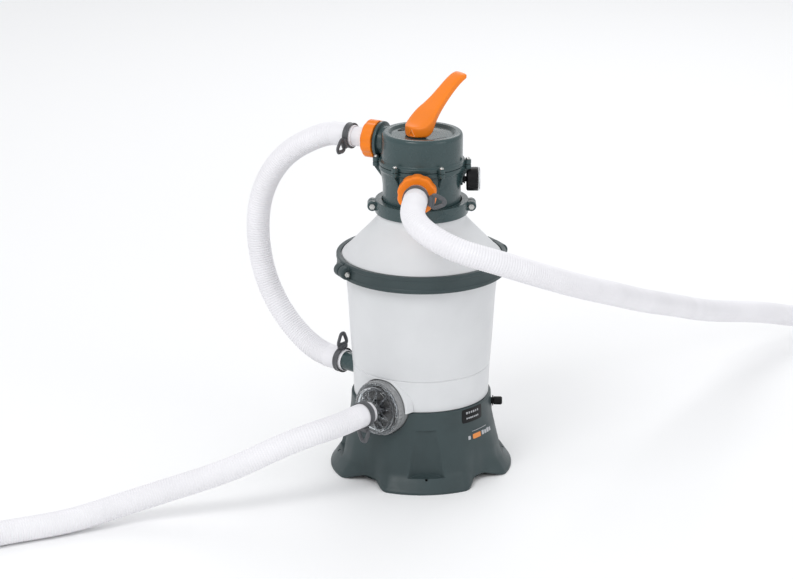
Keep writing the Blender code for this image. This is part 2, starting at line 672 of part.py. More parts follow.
def build_rotor():
    gasket = make("rotor_gasket", tube(0.0515, 0.0565, 0.5064, 0.5084, 20), "rubber")
    spokes = [tube(0.0130, 0.0165, 0.5064, 0.5084, 14)]
    for k in range(SCREW_COUNT):
        spoke = block((0.0370, 0.0030, 0.0020), (0.0340, 0.0, 0.5074))
        spokes.append(moved(spoke, Matrix.Rotation(math.radians(60.0 * k), 4, "Z")))
    join(gasket, *[helper(spoke) for spoke in spokes])

    rotor = [(0.0, 0.5090), (0.0560, 0.5090), (0.0560, 0.5160), (0.0070, 0.5170)]
    rotor += [(0.0070, 0.5690), (0.0, 0.5690)]
    disc = make("valve_rotor", turned(rotor, 24), "black")
    port = [(0.0200, 0.50), (0.0480, 0.50), (0.0480, 0.53), (0.0200, 0.53)]
    cut(disc, helper(turned(port, 8, 20.0, 50.0)))
    cut(disc, helper(rod(0.0028, -0.02, 0.02, 12), pivot_place()))

    turns, steps, wire, coil = 3.5, 10, 0.0012, 0.0125
    low, high = 0.5190, 0.5455
    rings = []
    total = int(turns * steps)
    for k in range(total + 1):
        angle = 2.0 * math.pi * k / steps
        height = low + (high - low) * k / total
        ring = []
        for j in range(4):
            around = 2.0 * math.pi * j / 4
            radius = coil + wire * math.cos(around)
            lift = height + wire * math.sin(around)
            ring.append((radius * math.cos(angle), radius * math.sin(angle), lift))
        rings.append(ring)
    make("valve_spring", loft(rings), "steel")


def pivot_place():
    """Across the lever, through the pin that it rocks on."""
    return place((0, 0, PIVOT_HEIGHT), bearing(LEVER_BEARING - 90.0), (0, 0, 1))


def lever_sections():
    """Sections across the lever from its hub to its tip: half width, half thickness, reach, height."""
    sizes = (
        (0.0247, 0.0063, -0.004, 0.0062),
        (0.0233, 0.0066, 0.0095, 0.0178),
        (0.0190, 0.0056, 0.024, 0.0330),
        (0.0155, 0.0050, 0.041, 0.0485),
        (0.0138, 0.0047, 0.058, 0.0630),
        (0.0135, 0.0042, 0.071, 0.0720),
        (0.0125, 0.0034, 0.079, 0.0755),
    )
    lean = math.radians(38.0)
    sections = []
    for half_width, half_thick, reach, height in sizes:
        ring = []
        for k in range(12):
            angle = 2.0 * math.pi * k / 12
            across = half_width * math.copysign(abs(math.cos(angle)) ** 0.5, math.cos(angle))
            through = half_thick * math.copysign(abs(math.sin(angle)) ** 0.6, math.sin(angle))
            ring.append((across, reach - through * math.sin(lean), height + through * math.cos(lean)))
        sections.append(ring)
    return sections


def build_handle():
    """The lever on a hub that rocks on a pin; local Y runs out along the lever."""
    out = place((0, 0, PIVOT_HEIGHT), (0, 0, 1), bearing(LEVER_BEARING - 90.0))
    hub = [(-0.0265, 0.0), (-0.0230, -0.0130), (-0.0130, -0.0230), (0.0, -0.0265), (0.0130, -0.0230)]
    hub += [(0.0230, -0.0130), (0.0265, 0.0), (0.0230, 0.0100), (-0.0230, 0.0100)]
    handle = make("valve_handle", prism(hub, -0.0098, 0.0091), "orange", out)
    join(handle, helper(loft(lever_sections()), out))
    wedge = prism([(-0.04, 0.0), (0.04, 0.0), (0.04, 0.04), (-0.04, 0.04)], -0.02, 0.02)
    tilt = Matrix.Translation((0, 0.0, -0.0190)) @ Matrix.Rotation(math.radians(30.0), 4, "X")
    cut(handle, helper(moved(wedge, tilt), out))
    cut(handle, helper(block((0.0150, 0.0240, 0.0400), (0.0, 0.0, -0.0110)), out))
    cut(handle, helper(rod(0.0028, -0.04, 0.04, 12), pivot_place()))
    make("handle_pin", rod(0.0025, -0.0255, 0.0255, 12), "steel", pivot_place())


def lobed(radius, depth, count, steps):
    """An outline with shallow finger scallops."""
    points = []
    for k in range(steps):
        angle = 2.0 * math.pi * k / steps
        here = radius - depth * (0.5 - 0.5 * math.cos(count * angle)) ** 2
        points.append((here * math.cos(angle), here * math.sin(angle)))
    return points


def build_union(prefix, degrees, height, start, end):
    """A union nut on a port's neck, and the hose tail that it clamps. Distances run out from the axis."""
    spot = port_place(degrees, height)
    outline = lobed(NUT_RADIUS, 0.0022, 8, 40)
    nut = make(f"{prefix}_nut", prism(outline, start, start + 0.0200), "orange", spot)
    face = start + 0.0040
    bore = [(0.0, start - 0.01), (PORT_RADIUS + GAP, start - 0.01), (PORT_RADIUS + GAP, start + 0.0150)]
    bore += [(0.0180, start + 0.0150), (0.0180, start + 0.03), (0.0, start + 0.03)]
    cut(nut, helper(turned(bore, 20), spot))
    tail = [(0.0120, face), (0.0230, face), (0.0230, start + 0.0145), (TAIL_RADIUS, start + 0.0150)]
    tail += [(TAIL_RADIUS, end), (0.0120, end)]
    make(f"{prefix}_tail", turned(tail, 18), "hose_white", spot)


def build_ports():
    build_union("return", RETURN_BEARING, RETURN_HEIGHT, 0.0793, 0.1300)
    build_union("pump_port", PUMP_PORT_BEARING, PUMP_PORT_HEIGHT, 0.0763, 0.1430)
    cap = [(0.0, 0.0833), (PORT_RADIUS + GAP, 0.0833), (PORT_RADIUS + GAP, 0.0745), (0.0275, 0.0745)]
    cap += [(0.0275, 0.0920), (0.0255, 0.0940), (0.0, 0.0940)]
    make("waste_cap", turned(cap, 22), "slate", port_place(WASTE_BEARING, RETURN_HEIGHT))


def build_gauge():
    spot = port_place(90.0, GAUGE_HEIGHT)
    case = [(0.0, 0.0550), (0.0060, 0.0550), (0.0060, 0.0652), (0.0085, 0.0655), (0.0085, 0.0680)]
    case += [(0.0045, 0.0683), (0.0045, 0.0700), (0.0165, 0.0700), (GAUGE_RADIUS, 0.0720)]
    case += [(GAUGE_RADIUS, 0.0890), (0.0172, 0.0890), (0.0172, 0.0830), (0.0, 0.0830)]
    make("gauge_case", turned(case, 22), "black", spot)
    needle = [(-0.0012, -0.0050), (0.0012, -0.0050), (0.0022, 0.0), (0.0004, 0.0135)]
    needle += [(-0.0004, 0.0135), (-0.0022, 0.0)]
    turn = Matrix.Rotation(math.radians(45.0), 4, "Z")
    make("gauge_needle", prism(needle, 0.0840, 0.0850), "black", spot @ turn)
    lens = [(0.0, 0.0893), (GAUGE_RADIUS, 0.0893), (GAUGE_RADIUS, 0.0905), (0.0165, 0.0920), (0.0, 0.0920)]
    make("gauge_lens", turned(lens, 22), "clear", spot)


def build_neck_clamp():
    section = ring_profile(0.4268, 0.4475, 0.0706, 0.0740, 0.0640, 0.0634, 0.0033)
    make("neck_seal", tube(0.0560, 0.0680, 0.4358, 0.4372, 20), "rubber")
    for name, first, forward in (("neck_clamp_front", -90.0, -1.0), ("neck_clamp_rear", 90.0, 1.0)):
        half = make(name, half_ring(section, first, 11), "grey_green")
        for side in (-1.0, 1.0):
            spot = place((side * 0.0785, 0.0, 0.4375), (0, forward, 0), (0, 0, 1))
            lug = helper(fused(rod(0.0082, 0.0004, 0.0125, 10)), spot)
            web = helper(block((0.0080, 0.0121, 0.0150), (side * 0.0740, forward * 0.00645, 0.4375)))
            join(lug, web)
            cut(lug, helper(rod(0.0706, 0.42, 0.46, 24)))
            join(half, lug)
            cut(half, helper(rod(0.0028, -0.01, 0.03, 8), spot))
    for name, side in (("neck_bolt_left", -1.0), ("neck_bolt_right", 1.0)):
        spot = place((side * 0.0785, 0.0, 0.4375), (0, -1, 0), (0, 0, 1))
        bolt = [(0.0, -0.0170), (0.0045, -0.0170), (0.0045, -0.0128), (0.0025, -0.0128), (0.0025, 0.0128)]
        bolt += [(0.0050, 0.0128), (0.0050, 0.0150), (0.0035, 0.0165), (0.0, 0.0165)]
        make(name, turned(bolt, 8), "steel", spot)


# ---- hoses ----


def hose(name, route):
    """A tube along a smooth curve through the route's points, with its ends filled."""
    points = np.array(route, float)
    spans = np.linalg.norm(np.diff(points, axis=0), axis=1)
    knots = np.concatenate([[0.0], np.cumsum(spans)])
    slopes = natural_slopes(knots, points)
    spacing = 2.4 * 2.0 * HOSE_RADIUS
    count = max(int(round(knots[-1] / spacing)), 6)
    distances = [knots[-1] * k / count for k in range(count + 1)]
    distances[1:1] = [END_STRAIGHT]
    distances[-1:-1] = [knots[-1] - END_STRAIGHT]
    samples = [curve_point(knots, points, slopes, distance) for distance in distances]
    data = bpy.data.curves.new(name, "CURVE")
    data.dimensions = "3D"
    data.bevel_depth = HOSE_RADIUS
    data.bevel_resolution = 2
    data.use_fill_caps = True
    spline = data.splines.new("POLY")
    spline.points.add(len(samples) - 1)
    for spot, sample in zip(spline.points, samples):
        spot.co = (*sample, 1.0)
    data.materials.append(finish("hose_white"))
    made = bpy.data.objects.new(name, data)
    bpy.context.scene.collection.objects.link(made)


def natural_slopes(knots, points):
    """Slopes at the knots of the cubic spline that bends least, with free ends."""
    count = len(knots)
    gaps = np.diff(knots)
    system = np.zeros((count, count))
    right = np.zeros((count, 3))
    system[0, 0], system[0, 1] = 2.0, 1.0
    right[0] = 3.0 * (points[1] - points[0]) / gaps[0]
    system[-1, -1], system[-1, -2] = 2.0, 1.0
    right[-1] = 3.0 * (points[-1] - points[-2]) / gaps[-1]
    for k in range(1, count - 1):
        system[k, k - 1] = 1.0 / gaps[k - 1]
        system[k, k] = 2.0 / gaps[k - 1] + 2.0 / gaps[k]
        system[k, k + 1] = 1.0 / gaps[k]
        before = (points[k] - points[k - 1]) / gaps[k - 1] ** 2
        after = (points[k + 1] - points[k]) / gaps[k] ** 2
        right[k] = 3.0 * (before + after)
    return np.linalg.solve(system, right)


def curve_point(knots, points, slopes, distance):
    k = int(min(np.searchsorted(knots, distance, side="right") - 1, len(knots) - 2))
    gap = knots[k + 1] - knots[k]
    t = (distance - knots[k]) / gap
    first = (2 * t**3 - 3 * t**2 + 1) * points[k] + (t**3 - 2 * t**2 + t) * gap * slopes[k]
    return first + (-2 * t**3 + 3 * t**2) * points[k + 1] + (t**3 - t**2) * gap * slopes[k + 1]


def inlet_curl():
    """The end of the inlet hose, laid in one open turn on the ground."""
    points = []
    for k in range(9):
        angle = math.radians(-62.0 - 34.0 * k)
        x = INLET_CURL_CENTRE[0] + INLET_CURL_RADIUS * math.cos(angle)
        y = INLET_CURL_CENTRE[1] + INLET_CURL_RADIUS * math.sin(angle)
        points.append((x, y, 0.0195))
    return tuple(points)


def hose_clamp(name, spot, start, wing_turn):
    """A band round the hose with a screw block and a looped wing, in the frame of the spigot under it."""
    band = make(name, tube(CLAMP_BORE, CLAMP_BORE + 0.0012, start, start + 0.0100, 20), "grey_clamp", spot)
    turn = spot @ Matrix.Rotation(math.radians(wing_turn), 4, "Z")
    top = CLAMP_BORE + 0.0008
    screw = block((0.0075, 0.0180, 0.0095), (top + 0.00375, 0.0, start + 0.0050))
    join(band, helper(screw, turn))
    ear_outline = [(-0.0035, -0.0130), (-0.0035, 0.0130), (0.0060, 0.0100)]
    ear_outline += [(0.0200, 0.0035), (0.0200, -0.0035), (0.0060, -0.0100)]
    ear = prism(ear_outline, -0.0018, 0.0018)
    wing_at = turn @ Matrix.Translation((top + 0.0085, 0.0, start + 0.0050))
    wing = helper(ear, wing_at)
    hole = prism([(0.0035, -0.0055), (0.0035, 0.0055), (0.0140, 0.0015), (0.0140, -0.0015)], -0.01, 0.01)
    join(band, wing)
    cut(band, helper(hole, wing_at))


def build_hoses():
    hose("hose_inlet", INLET_ROUTE + inlet_curl())
    hose("hose_return", RETURN_ROUTE)
    hose("hose_loop", LOOP_ROUTE)
    hose_clamp("clamp_inlet", pump_place(), 0.1500, 180.0)
    hose_clamp("clamp_return", port_place(RETURN_BEARING, RETURN_HEIGHT), 0.1110, -95.0)
    hose_clamp("clamp_loop_top", port_place(PUMP_PORT_BEARING, PUMP_PORT_HEIGHT), 0.1230, 250.0)
    hose_clamp("clamp_loop_bottom", outlet_place(), 0.1234, 0.0)


def main():
    clear_scene()
    build_base()
    build_strainer()
    build_pump()
    build_tank()
    build_valve_body()
    build_valve_cover()
    build_rotor()
    build_handle()
    build_ports()
    build_gauge()
    build_neck_clamp()
    build_hoses()


main()
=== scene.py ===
"""Looks of a sand-filter pump for a small pool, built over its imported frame.

Metres, +Z up, origin on the tank's axis at the floor. The front is -Y. A bearing is an angle round
the tank's axis in degrees, 0 at the front and 90 at the right (+X).
"""

import logging
import math
from collections.abc import Iterable
from dataclasses import dataclass, field
from enum import Enum

import bpy
import numpy as np
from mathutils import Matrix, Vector

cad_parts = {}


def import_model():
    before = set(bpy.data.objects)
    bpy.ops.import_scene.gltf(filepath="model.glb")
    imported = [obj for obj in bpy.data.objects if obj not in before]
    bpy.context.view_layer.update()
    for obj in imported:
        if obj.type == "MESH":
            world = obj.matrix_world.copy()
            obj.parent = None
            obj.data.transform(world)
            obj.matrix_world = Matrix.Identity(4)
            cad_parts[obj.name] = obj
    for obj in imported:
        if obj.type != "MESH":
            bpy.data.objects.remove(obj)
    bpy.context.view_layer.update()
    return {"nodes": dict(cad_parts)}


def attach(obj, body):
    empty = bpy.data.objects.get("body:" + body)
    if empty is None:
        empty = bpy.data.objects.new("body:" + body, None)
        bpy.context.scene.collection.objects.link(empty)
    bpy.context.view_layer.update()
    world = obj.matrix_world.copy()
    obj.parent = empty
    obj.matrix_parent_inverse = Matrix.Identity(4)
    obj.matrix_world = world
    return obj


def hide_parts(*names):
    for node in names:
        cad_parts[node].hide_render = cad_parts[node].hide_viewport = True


Array = np.ndarray
Triple = tuple[float, float, float]
Socket = bpy.types.NodeSocket
log = logging.getLogger("filter_pump")

ROOT = "filter_pump"


# ---------------------------------------------------------------- shapes


def vector(*values: float) -> Array:
    """A float array of the values."""
    return np.array(values, float)


UP = vector(0.0, 0.0, 1.0)


def unit(direction: Array) -> Array:
    """The direction at length 1, for one vector or rows of them."""
    return direction / np.linalg.norm(direction, axis=-1, keepdims=True)


def whole_turn(steps: int) -> Array:
    """Angles of evenly spaced steps round a full turn, in radians."""
    return np.linspace(0.0, 2 * np.pi, steps, endpoint=False)


def wave(count: float, angle: Array) -> Array:
    """A wave from 0 to 1 and back, count times round a turn: 1/2 - 1/2 cos(count a)."""
    return 0.5 - 0.5 * np.cos(count * angle)


def bearing(degrees: float | Array, radius: float | Array = 1.0, height: float | Array = 0.0) -> Array:
    """Point at a bearing round the tank's axis: (r sin a, -r cos a, h).

    Args:
        degrees: the bearing, one or many.
        radius: distance from the axis.
        height: height above the floor.

    Returns:
        The point, or an array of points.
    """
    angle = np.radians(degrees)
    x, y, z = np.broadcast_arrays(radius * np.sin(angle), -radius * np.cos(angle), height)
    return np.stack([x, y, z], axis=-1).astype(float)


@dataclass(frozen=True)
class Place:
    """A local frame: an origin and three unit axes, as rows."""

    origin: Array
    axes: Array

    @classmethod
    def along(
        cls, point: Array | Triple, axis: Array | Triple, side: Array | Triple = (0.0, 0.0, 1.0)
    ) -> "Place":
        """A frame whose Z runs along an axis and whose X leans to a side.

        Args:
            point: its origin.
            axis: direction of local Z.
            side: direction that local X leans to.

        Returns:
            The frame.
        """
        up = unit(np.asarray(axis, float))
        across = np.asarray(side, float)
        across = unit(across - up * (across @ up))
        return cls(np.asarray(point, float), np.stack([across, np.cross(up, across), up]))

    def __call__(self, local: Array) -> Array:
        """Local points in the row frame: origin + x X + y Y + z Z."""
        return self.origin + np.asarray(local, float) @ self.axes

    def turned(self, degrees: float) -> "Place":
        """The same frame turned about its own Z: X cos a + Y sin a, Y cos a - X sin a.

        Args:
            degrees: how far it turns.

        Returns:
            The turned frame.
        """
        c, s = math.cos(math.radians(degrees)), math.sin(math.radians(degrees))
        x, y, z = self.axes
        return Place(self.origin, np.stack([x * c + y * s, y * c - x * s, z]))


WORLD = Place(np.zeros(3), np.eye(3))


@dataclass
class Shell:
    """A mesh under construction: points and four-sided faces, a triangle repeating its last point."""

    points: Array
    faces: Array

    def __add__(self, other: "Shell") -> "Shell":
        """Both meshes as one."""
        faces = np.concatenate([self.faces, other.faces + len(self.points)])
        return Shell(np.concatenate([self.points, other.points]), faces)

    def at(self, place: Place) -> "Shell":
        """The mesh carried from local coordinates to a place."""
        return Shell(place(self.points), self.faces)

    def outward(self) -> "Shell":
        """The closed mesh with its faces pointing out, by the sign of the volume it encloses."""
        p = self.points[self.faces]
        middle = self.points.mean(axis=0)
        a, b, c, d = (p[:, k] - middle for k in range(4))
        volume = (np.cross(a, b) * c).sum() + (np.cross(a, c) * d).sum()
        return Shell(self.points, self.faces[:, ::-1] if volume < 0 else self.faces)


def skin(grid: Array, wrap_u: bool = True, wrap_v: bool = False, caps: bool = False) -> Shell:
    """A grid of points joined by faces, its rows along v and its columns round u.

    Args:
        grid: points, shape (rows, columns, 3).
        wrap_u: each row closes on itself.
        wrap_v: the last row joins the first.
        caps: the first and last rows are filled from their middles.

    Returns:
        The mesh, facing out.
    """
    rows, columns = grid.shape[:2]
    index = np.arange(rows * columns).reshape(rows, columns)
    if wrap_u:
        index = np.concatenate([index, index[:, :1]], axis=1)
    if wrap_v:
        index = np.concatenate([index, index[:1]], axis=0)
    faces = np.stack([index[:-1, :-1], index[:-1, 1:], index[1:, 1:], index[1:, :-1]], axis=-1).reshape(-1, 4)
    points = grid.reshape(-1, 3)
    if caps:
        middles = np.stack([grid[0].mean(axis=0), grid[-1].mean(axis=0)])
        first, last = len(points), len(points) + 1
        points = np.concatenate([points, middles])
        low = np.stack([index[0, 1:], index[0, :-1]], axis=-1)
        high = np.stack([index[-1, :-1], index[-1, 1:]], axis=-1)
        for edge, tip in ((low, first), (high, last)):
            faces = np.concatenate([faces, np.column_stack([edge, np.full((len(edge), 2), tip)])])
    return Shell(points, faces).outward()


def joined(shells: Iterable[Shell]) -> Shell:
    """Several meshes as one, in their order.

    Args:
        shells: the meshes, at least one.

    Returns:
        The whole.
    """
    whole, *rest = shells
    for shell in rest:
        whole = whole + shell
    return whole


def eased(corners: Array | list, radius: float | Array = 0.001, steps: int = 4, closed: bool = True) -> Array:
    """Corners of an outline, each eased by a quadratic curve: (1-t)^2 A + 2t(1-t) P + t^2 B.

    Args:
        corners: outline points, shape (n, 2).
        radius: how far from each corner its curve starts, one value or one for each corner.
        steps: points on each curve.
        closed: the outline closes on itself; otherwise its two ends stay sharp.

    Returns:
        The eased outline.
    """
    here = np.asarray(corners, float)
    before, after = np.roll(here, 1, axis=0), np.roll(here, -1, axis=0)
    back, ahead = before - here, after - here
    back_length = np.linalg.norm(back, axis=1)
    ahead_length = np.linalg.norm(ahead, axis=1)
    reach = np.minimum(np.broadcast_to(radius, (len(here),)), 0.49 * np.minimum(back_length, ahead_length))
    if not closed:
        reach = reach.copy()
        reach[0] = reach[-1] = 0.0
    start = here + back * (reach / back_length)[:, None]
    end = here + ahead * (reach / ahead_length)[:, None]
    t = np.linspace(0.0, 1.0, steps)[None, :, None]
    curve = (1 - t) ** 2 * start[:, None] + 2 * t * (1 - t) * here[:, None] + t**2 * end[:, None]
    points = curve.reshape(-1, 2)
    keep = np.ones(len(points), bool)
    keep[1:] = np.linalg.norm(np.diff(points, axis=0), axis=1) > 1e-7
    return points[keep]


def lathe(
    outline: Array,
    sides: int = 96,
    start: float = 0.0,
    sweep: float = 360.0,
    lobe: Array | None = None,
) -> Shell:
    """A closed outline turned about Z: (r cos a, r sin a, z), with r less the lobe where one is given.

    Args:
        outline: (radius, height) points; it closes on itself, or starts and ends on the axis.
        sides: steps round the axis.
        start: first angle in degrees.
        sweep: how far it turns; less than a turn gives flat ends.
        lobe: how much each angle takes off each outline point, shape (points, sides).

    Returns:
        The mesh, facing out.
    """
    whole = sweep >= 360.0
    angle = np.radians(start + np.linspace(0.0, sweep, sides + 1)[: sides if whole else sides + 1])
    radius = np.broadcast_to(outline[:, :1], (len(outline), len(angle)))
    if lobe is not None:
        radius = radius - lobe
    height = np.broadcast_to(outline[:, 1:2], radius.shape)
    grid = np.stack([radius * np.cos(angle), radius * np.sin(angle), height], axis=-1)
    on_axis = outline[0, 0] < 1e-6 and outline[-1, 0] < 1e-6
    if whole and on_axis:
        return skin(grid[1:-1], caps=True)
    if whole:
        return skin(grid, wrap_v=True)
    return skin(grid.transpose(1, 0, 2), caps=True)


def pin(radius: float, low: float, high: float, ease: float = 0.0006, sides: int = 32) -> Shell:
    """A round bar along Z with eased rims."""
    corners = [(0.0, low), (radius, low), (radius, high), (0.0, high)]
    return lathe(eased(corners, ease, 4, closed=False), sides)


def sleeve(
    inner: float, outer: float, low: float, high: float, ease: float = 0.0005, sides: int = 96
) -> Shell:
    """A ring along Z with eased rims."""
    corners = [(inner, low), (outer, low), (outer, high), (inner, high)]
    return lathe(eased(corners, ease), sides)


def extruded(outline: Array, low: float, high: float, ease: float = 0.0006, rows: int = 4) -> Shell:
    """A flat outline raised from one height to another, its rims drawn in along a quarter of an ellipse.

    Args:
        outline: (x, y) points.
        low: lowest height.
        high: highest height.
        ease: size of the rounded rim.
        rows: rows of points on each rim.

    Returns:
        The mesh, facing out.
    """
    turn = np.linspace(0.0, np.pi / 2, rows)
    drawn = np.concatenate([ease * (1 - np.sin(turn)), ease * (1 - np.cos(turn))])
    height = np.concatenate([low + ease * (1 - np.cos(turn)), high - ease * (1 - np.sin(turn))])
    edge = np.roll(outline, -1, axis=0) - np.roll(outline, 1, axis=0)
    after = np.roll(outline, -1, axis=0)
    area = (outline[:, 0] * after[:, 1] - outline[:, 1] * after[:, 0]).sum()
    inward = unit(np.stack([-edge[:, 1], edge[:, 0]], axis=-1)) * np.sign(area)
    flat = outline[None] + inward[None] * drawn[:, None, None]
    heights = np.broadcast_to(height[:, None, None], (len(height), len(outline), 1))
    return skin(np.concatenate([flat, heights], axis=-1), caps=True)


def brick(size: Array | Triple, ease: float = 0.0008, centre: Array | Triple = (0.0, 0.0, 0.0)) -> Shell:
    """A box with eased upright edges and rims.

    Args:
        size: its three sides.
        ease: size of the rounded rims; the upright edges take 1.6 times as much.
        centre: its middle.

    Returns:
        The mesh, facing out.
    """
    x, y, z = np.asarray(size) / 2
    outline = eased([(-x, -y), (x, -y), (x, y), (-x, y)], ease * 1.6, 5)
    made = extruded(outline, -z, z, ease)
    return Shell(made.points + np.asarray(centre, float), made.faces)


def smooth_path(route: Array, spacing: float) -> Array:
    """Points at an even spacing on the natural cubic spline through a route.

    The spline's slopes solve the usual three-term system, and each span is the Hermite cubic of its
    two ends and their slopes.

    Args:
        route: the points it passes through.
        spacing: distance between the points returned.

    Returns:
        The points, shape (n, 3).
    """
    gaps = np.linalg.norm(np.diff(route, axis=0), axis=1)
    knots = np.concatenate([[0.0], np.cumsum(gaps)])
    rise = np.diff(route, axis=0)
    system = np.diag(np.concatenate([[2.0], 2 / gaps[:-1] + 2 / gaps[1:], [2.0]]))
    above, below = np.concatenate([[1.0], 1 / gaps[1:]]), np.concatenate([1 / gaps[:-1], [1.0]])
    system += np.diag(above, 1) + np.diag(below, -1)
    inner = 3 * (rise[:-1] / gaps[:-1, None] ** 2 + rise[1:] / gaps[1:, None] ** 2)
    right = np.concatenate([3 * rise[:1] / gaps[0], inner, 3 * rise[-1:] / gaps[-1]])
    slopes = np.linalg.solve(system, right)
    at = np.linspace(0.0, knots[-1], int(knots[-1] / spacing) * 2)
    k = np.clip(np.searchsorted(knots, at, side="right") - 1, 0, len(gaps) - 1)
    gap = gaps[k][:, None]
    t = ((at - knots[k]) / gaps[k])[:, None]
    curve = (2 * t**3 - 3 * t**2 + 1) * route[k] + (t**3 - 2 * t**2 + t) * gap * slopes[k]
    curve = curve + (-2 * t**3 + 3 * t**2) * route[k + 1] + (t**3 - t**2) * gap * slopes[k + 1]
    run = np.concatenate([[0.0], np.cumsum(np.linalg.norm(np.diff(curve, axis=0), axis=1))])
    even = np.linspace(0.0, run[-1], int(run[-1] / spacing) + 1)
    return np.stack([np.interp(even, run, curve[:, k]) for k in range(3)], axis=-1)


def carried(path: Array, profile: Array, across: Array, sides: int = 28) -> Shell:
    """A round section carried along a path: C(s) + r (N cos a + B sin a).

    N is the unit cross product of the path's direction and a fixed direction, and B completes it.

    Args:
        path: points of the centreline, evenly spaced.
        profile: (distance along the path, radius) rows; it may turn back inside itself.
        across: a direction that the path never runs along.
        sides: points round the section.

    Returns:
        The closed mesh.
    """
    run = np.concatenate([[0.0], np.cumsum(np.linalg.norm(np.diff(path, axis=0), axis=1))])
    heading = np.gradient(path, axis=0)
    at = profile[:, 0]
    centre = np.stack([np.interp(at, run, path[:, k]) for k in range(3)], axis=-1)
    ahead = unit(np.stack([np.interp(at, run, heading[:, k]) for k in range(3)], axis=-1))
    normal = unit(np.cross(ahead, across))
    other = np.cross(ahead, normal)
    angle = whole_turn(sides)[None, :, None]
    spokes = normal[:, None] * np.cos(angle) + other[:, None] * np.sin(angle)
    return skin(centre[:, None] + profile[:, 1, None, None] * spokes, caps=True)


# ---------------------------------------------------------------- finishes


class Shader:
    """A material's node tree, with short calls for the nodes used here."""

    def __init__(self, name: str) -> None:
        """Starts a material with a Principled shader.

        Args:
            name: the material's name.
        """
        self.material = bpy.data.materials.new(name)
        self.material.use_nodes = True
        self.tree = self.material.node_tree
        self.surface = self.tree.nodes["Principled BSDF"]
        self.place = self.tree.nodes.new("ShaderNodeTexCoord").outputs["Object"]

    def set(self, **values: float | tuple[float, ...]) -> None:
        """Sets constant values on the shader's own sockets, underscores standing for spaces."""
        for name, value in values.items():
            self.surface.inputs[name.replace("_", " ")].default_value = value

    def link(self, source: Socket, name: str) -> None:
        """Feeds one of the shader's sockets."""
        self.tree.links.new(source, self.surface.inputs[name])

    def noise(self, scale: float, detail: float = 3.0, stretch: Triple = (1, 1, 1)) -> Socket:
        """Noise on object coordinates, as a factor about 0.5.

        Args:
            scale: cells per metre.
            detail: layers of finer noise.
            stretch: scale of each axis, for streaks.

        Returns:
            The factor socket.
        """
        mapping = self.tree.nodes.new("ShaderNodeMapping")
        mapping.inputs["Scale"].default_value = stretch
        self.tree.links.new(self.place, mapping.inputs["Vector"])
        node = self.tree.nodes.new("ShaderNodeTexNoise")
        node.inputs["Scale"].default_value = scale
        node.inputs["Detail"].default_value = detail
        self.tree.links.new(mapping.outputs["Vector"], node.inputs["Vector"])
        return node.outputs["Fac"]

    def spread(self, source: Socket, low: float, high: float) -> Socket:
        """Carries the middle of a noise factor, 0.35 to 0.65, onto a range.

        Args:
            source: the factor.
            low: value at its low end.
            high: value at its high end.

        Returns:
            The value socket.
        """
        node = self.tree.nodes.new("ShaderNodeMapRange")
        for name, value in (("From Min", 0.35), ("From Max", 0.65), ("To Min", low), ("To Max", high)):
            node.inputs[name].default_value = value
        self.tree.links.new(source, node.inputs["Value"])
        return node.outputs["Result"]

    def shade(self, source: Socket, dark: Triple, light: Triple) -> None:
        """Colours the surface between two colours, by a noise factor.

        Args:
            source: the factor.
            dark: colour at its low end.
            light: colour at its high end.
        """
        node = self.tree.nodes.new("ShaderNodeMix")
        node.data_type = "RGBA"
        node.inputs["A"].default_value = (*dark, 1.0)
        node.inputs["B"].default_value = (*light, 1.0)
        self.tree.links.new(self.spread(source, 0.0, 1.0), node.inputs["Factor"])
        self.link(next(out for out in node.outputs if out.type == "RGBA"), "Base Color")

    def roughen(self, source: Socket, low: float, high: float) -> None:
        """Varies the roughness between two values, by a noise factor."""
        self.link(self.spread(source, low, high), "Roughness")

    def relief(self, height: Socket, depth: float) -> None:
        """Raises the surface by a height map.

        Args:
            height: the map.
            depth: its depth in metres.
        """
        node = self.tree.nodes.new("ShaderNodeBump")
        node.inputs["Strength"].default_value = 0.6
        node.inputs["Distance"].default_value = depth
        self.tree.links.new(height, node.inputs["Height"])
        self.link(node.outputs["Normal"], "Normal")


def scaled(colour: Triple, by: float) -> Triple:
    """A colour made lighter or darker."""
    return tuple(min(part * by, 1.0) for part in colour)


@dataclass(frozen=True)
class Plastic:
    """Moulded plastic: a cloudy colour, a fine grain, and gloss that varies a little."""

    name: str
    colour: Triple
    rough: float = 0.38
    cloud: float = 0.06
    grain: float = 900.0
    depth: float = 0.00005
    coat: float = 0.0
    gloss: float = 0.5

    def make(self) -> bpy.types.Material:
        """Builds the material."""
        made = Shader(self.name)
        dark, light = scaled(self.colour, 1 - self.cloud), scaled(self.colour, 1 + self.cloud)
        made.shade(made.noise(14.0, 5.0), dark, light)
        made.roughen(made.noise(40.0, 4.0), self.rough - 0.05, self.rough + 0.06)
        made.relief(made.noise(self.grain, 2.0), self.depth)
        made.set(IOR=1.49, Specular_IOR_Level=self.gloss, Coat_Weight=self.coat, Coat_Roughness=0.12)
        return made.material


@dataclass(frozen=True)
class Metal:
    """Turned or rolled metal with fine scratches."""

    name: str
    colour: Triple
    rough: float = 0.28

    def make(self) -> bpy.types.Material:
        """Builds the material."""
        made = Shader(self.name)
        made.shade(made.noise(120.0, 4.0), scaled(self.colour, 0.85), self.colour)
        made.roughen(made.noise(300.0, 3.0, (1, 1, 9)), self.rough - 0.08, self.rough + 0.12)
        made.relief(made.noise(700.0, 2.0, (1, 1, 6)), 0.00003)
        made.set(Metallic=1.0)
        return made.material


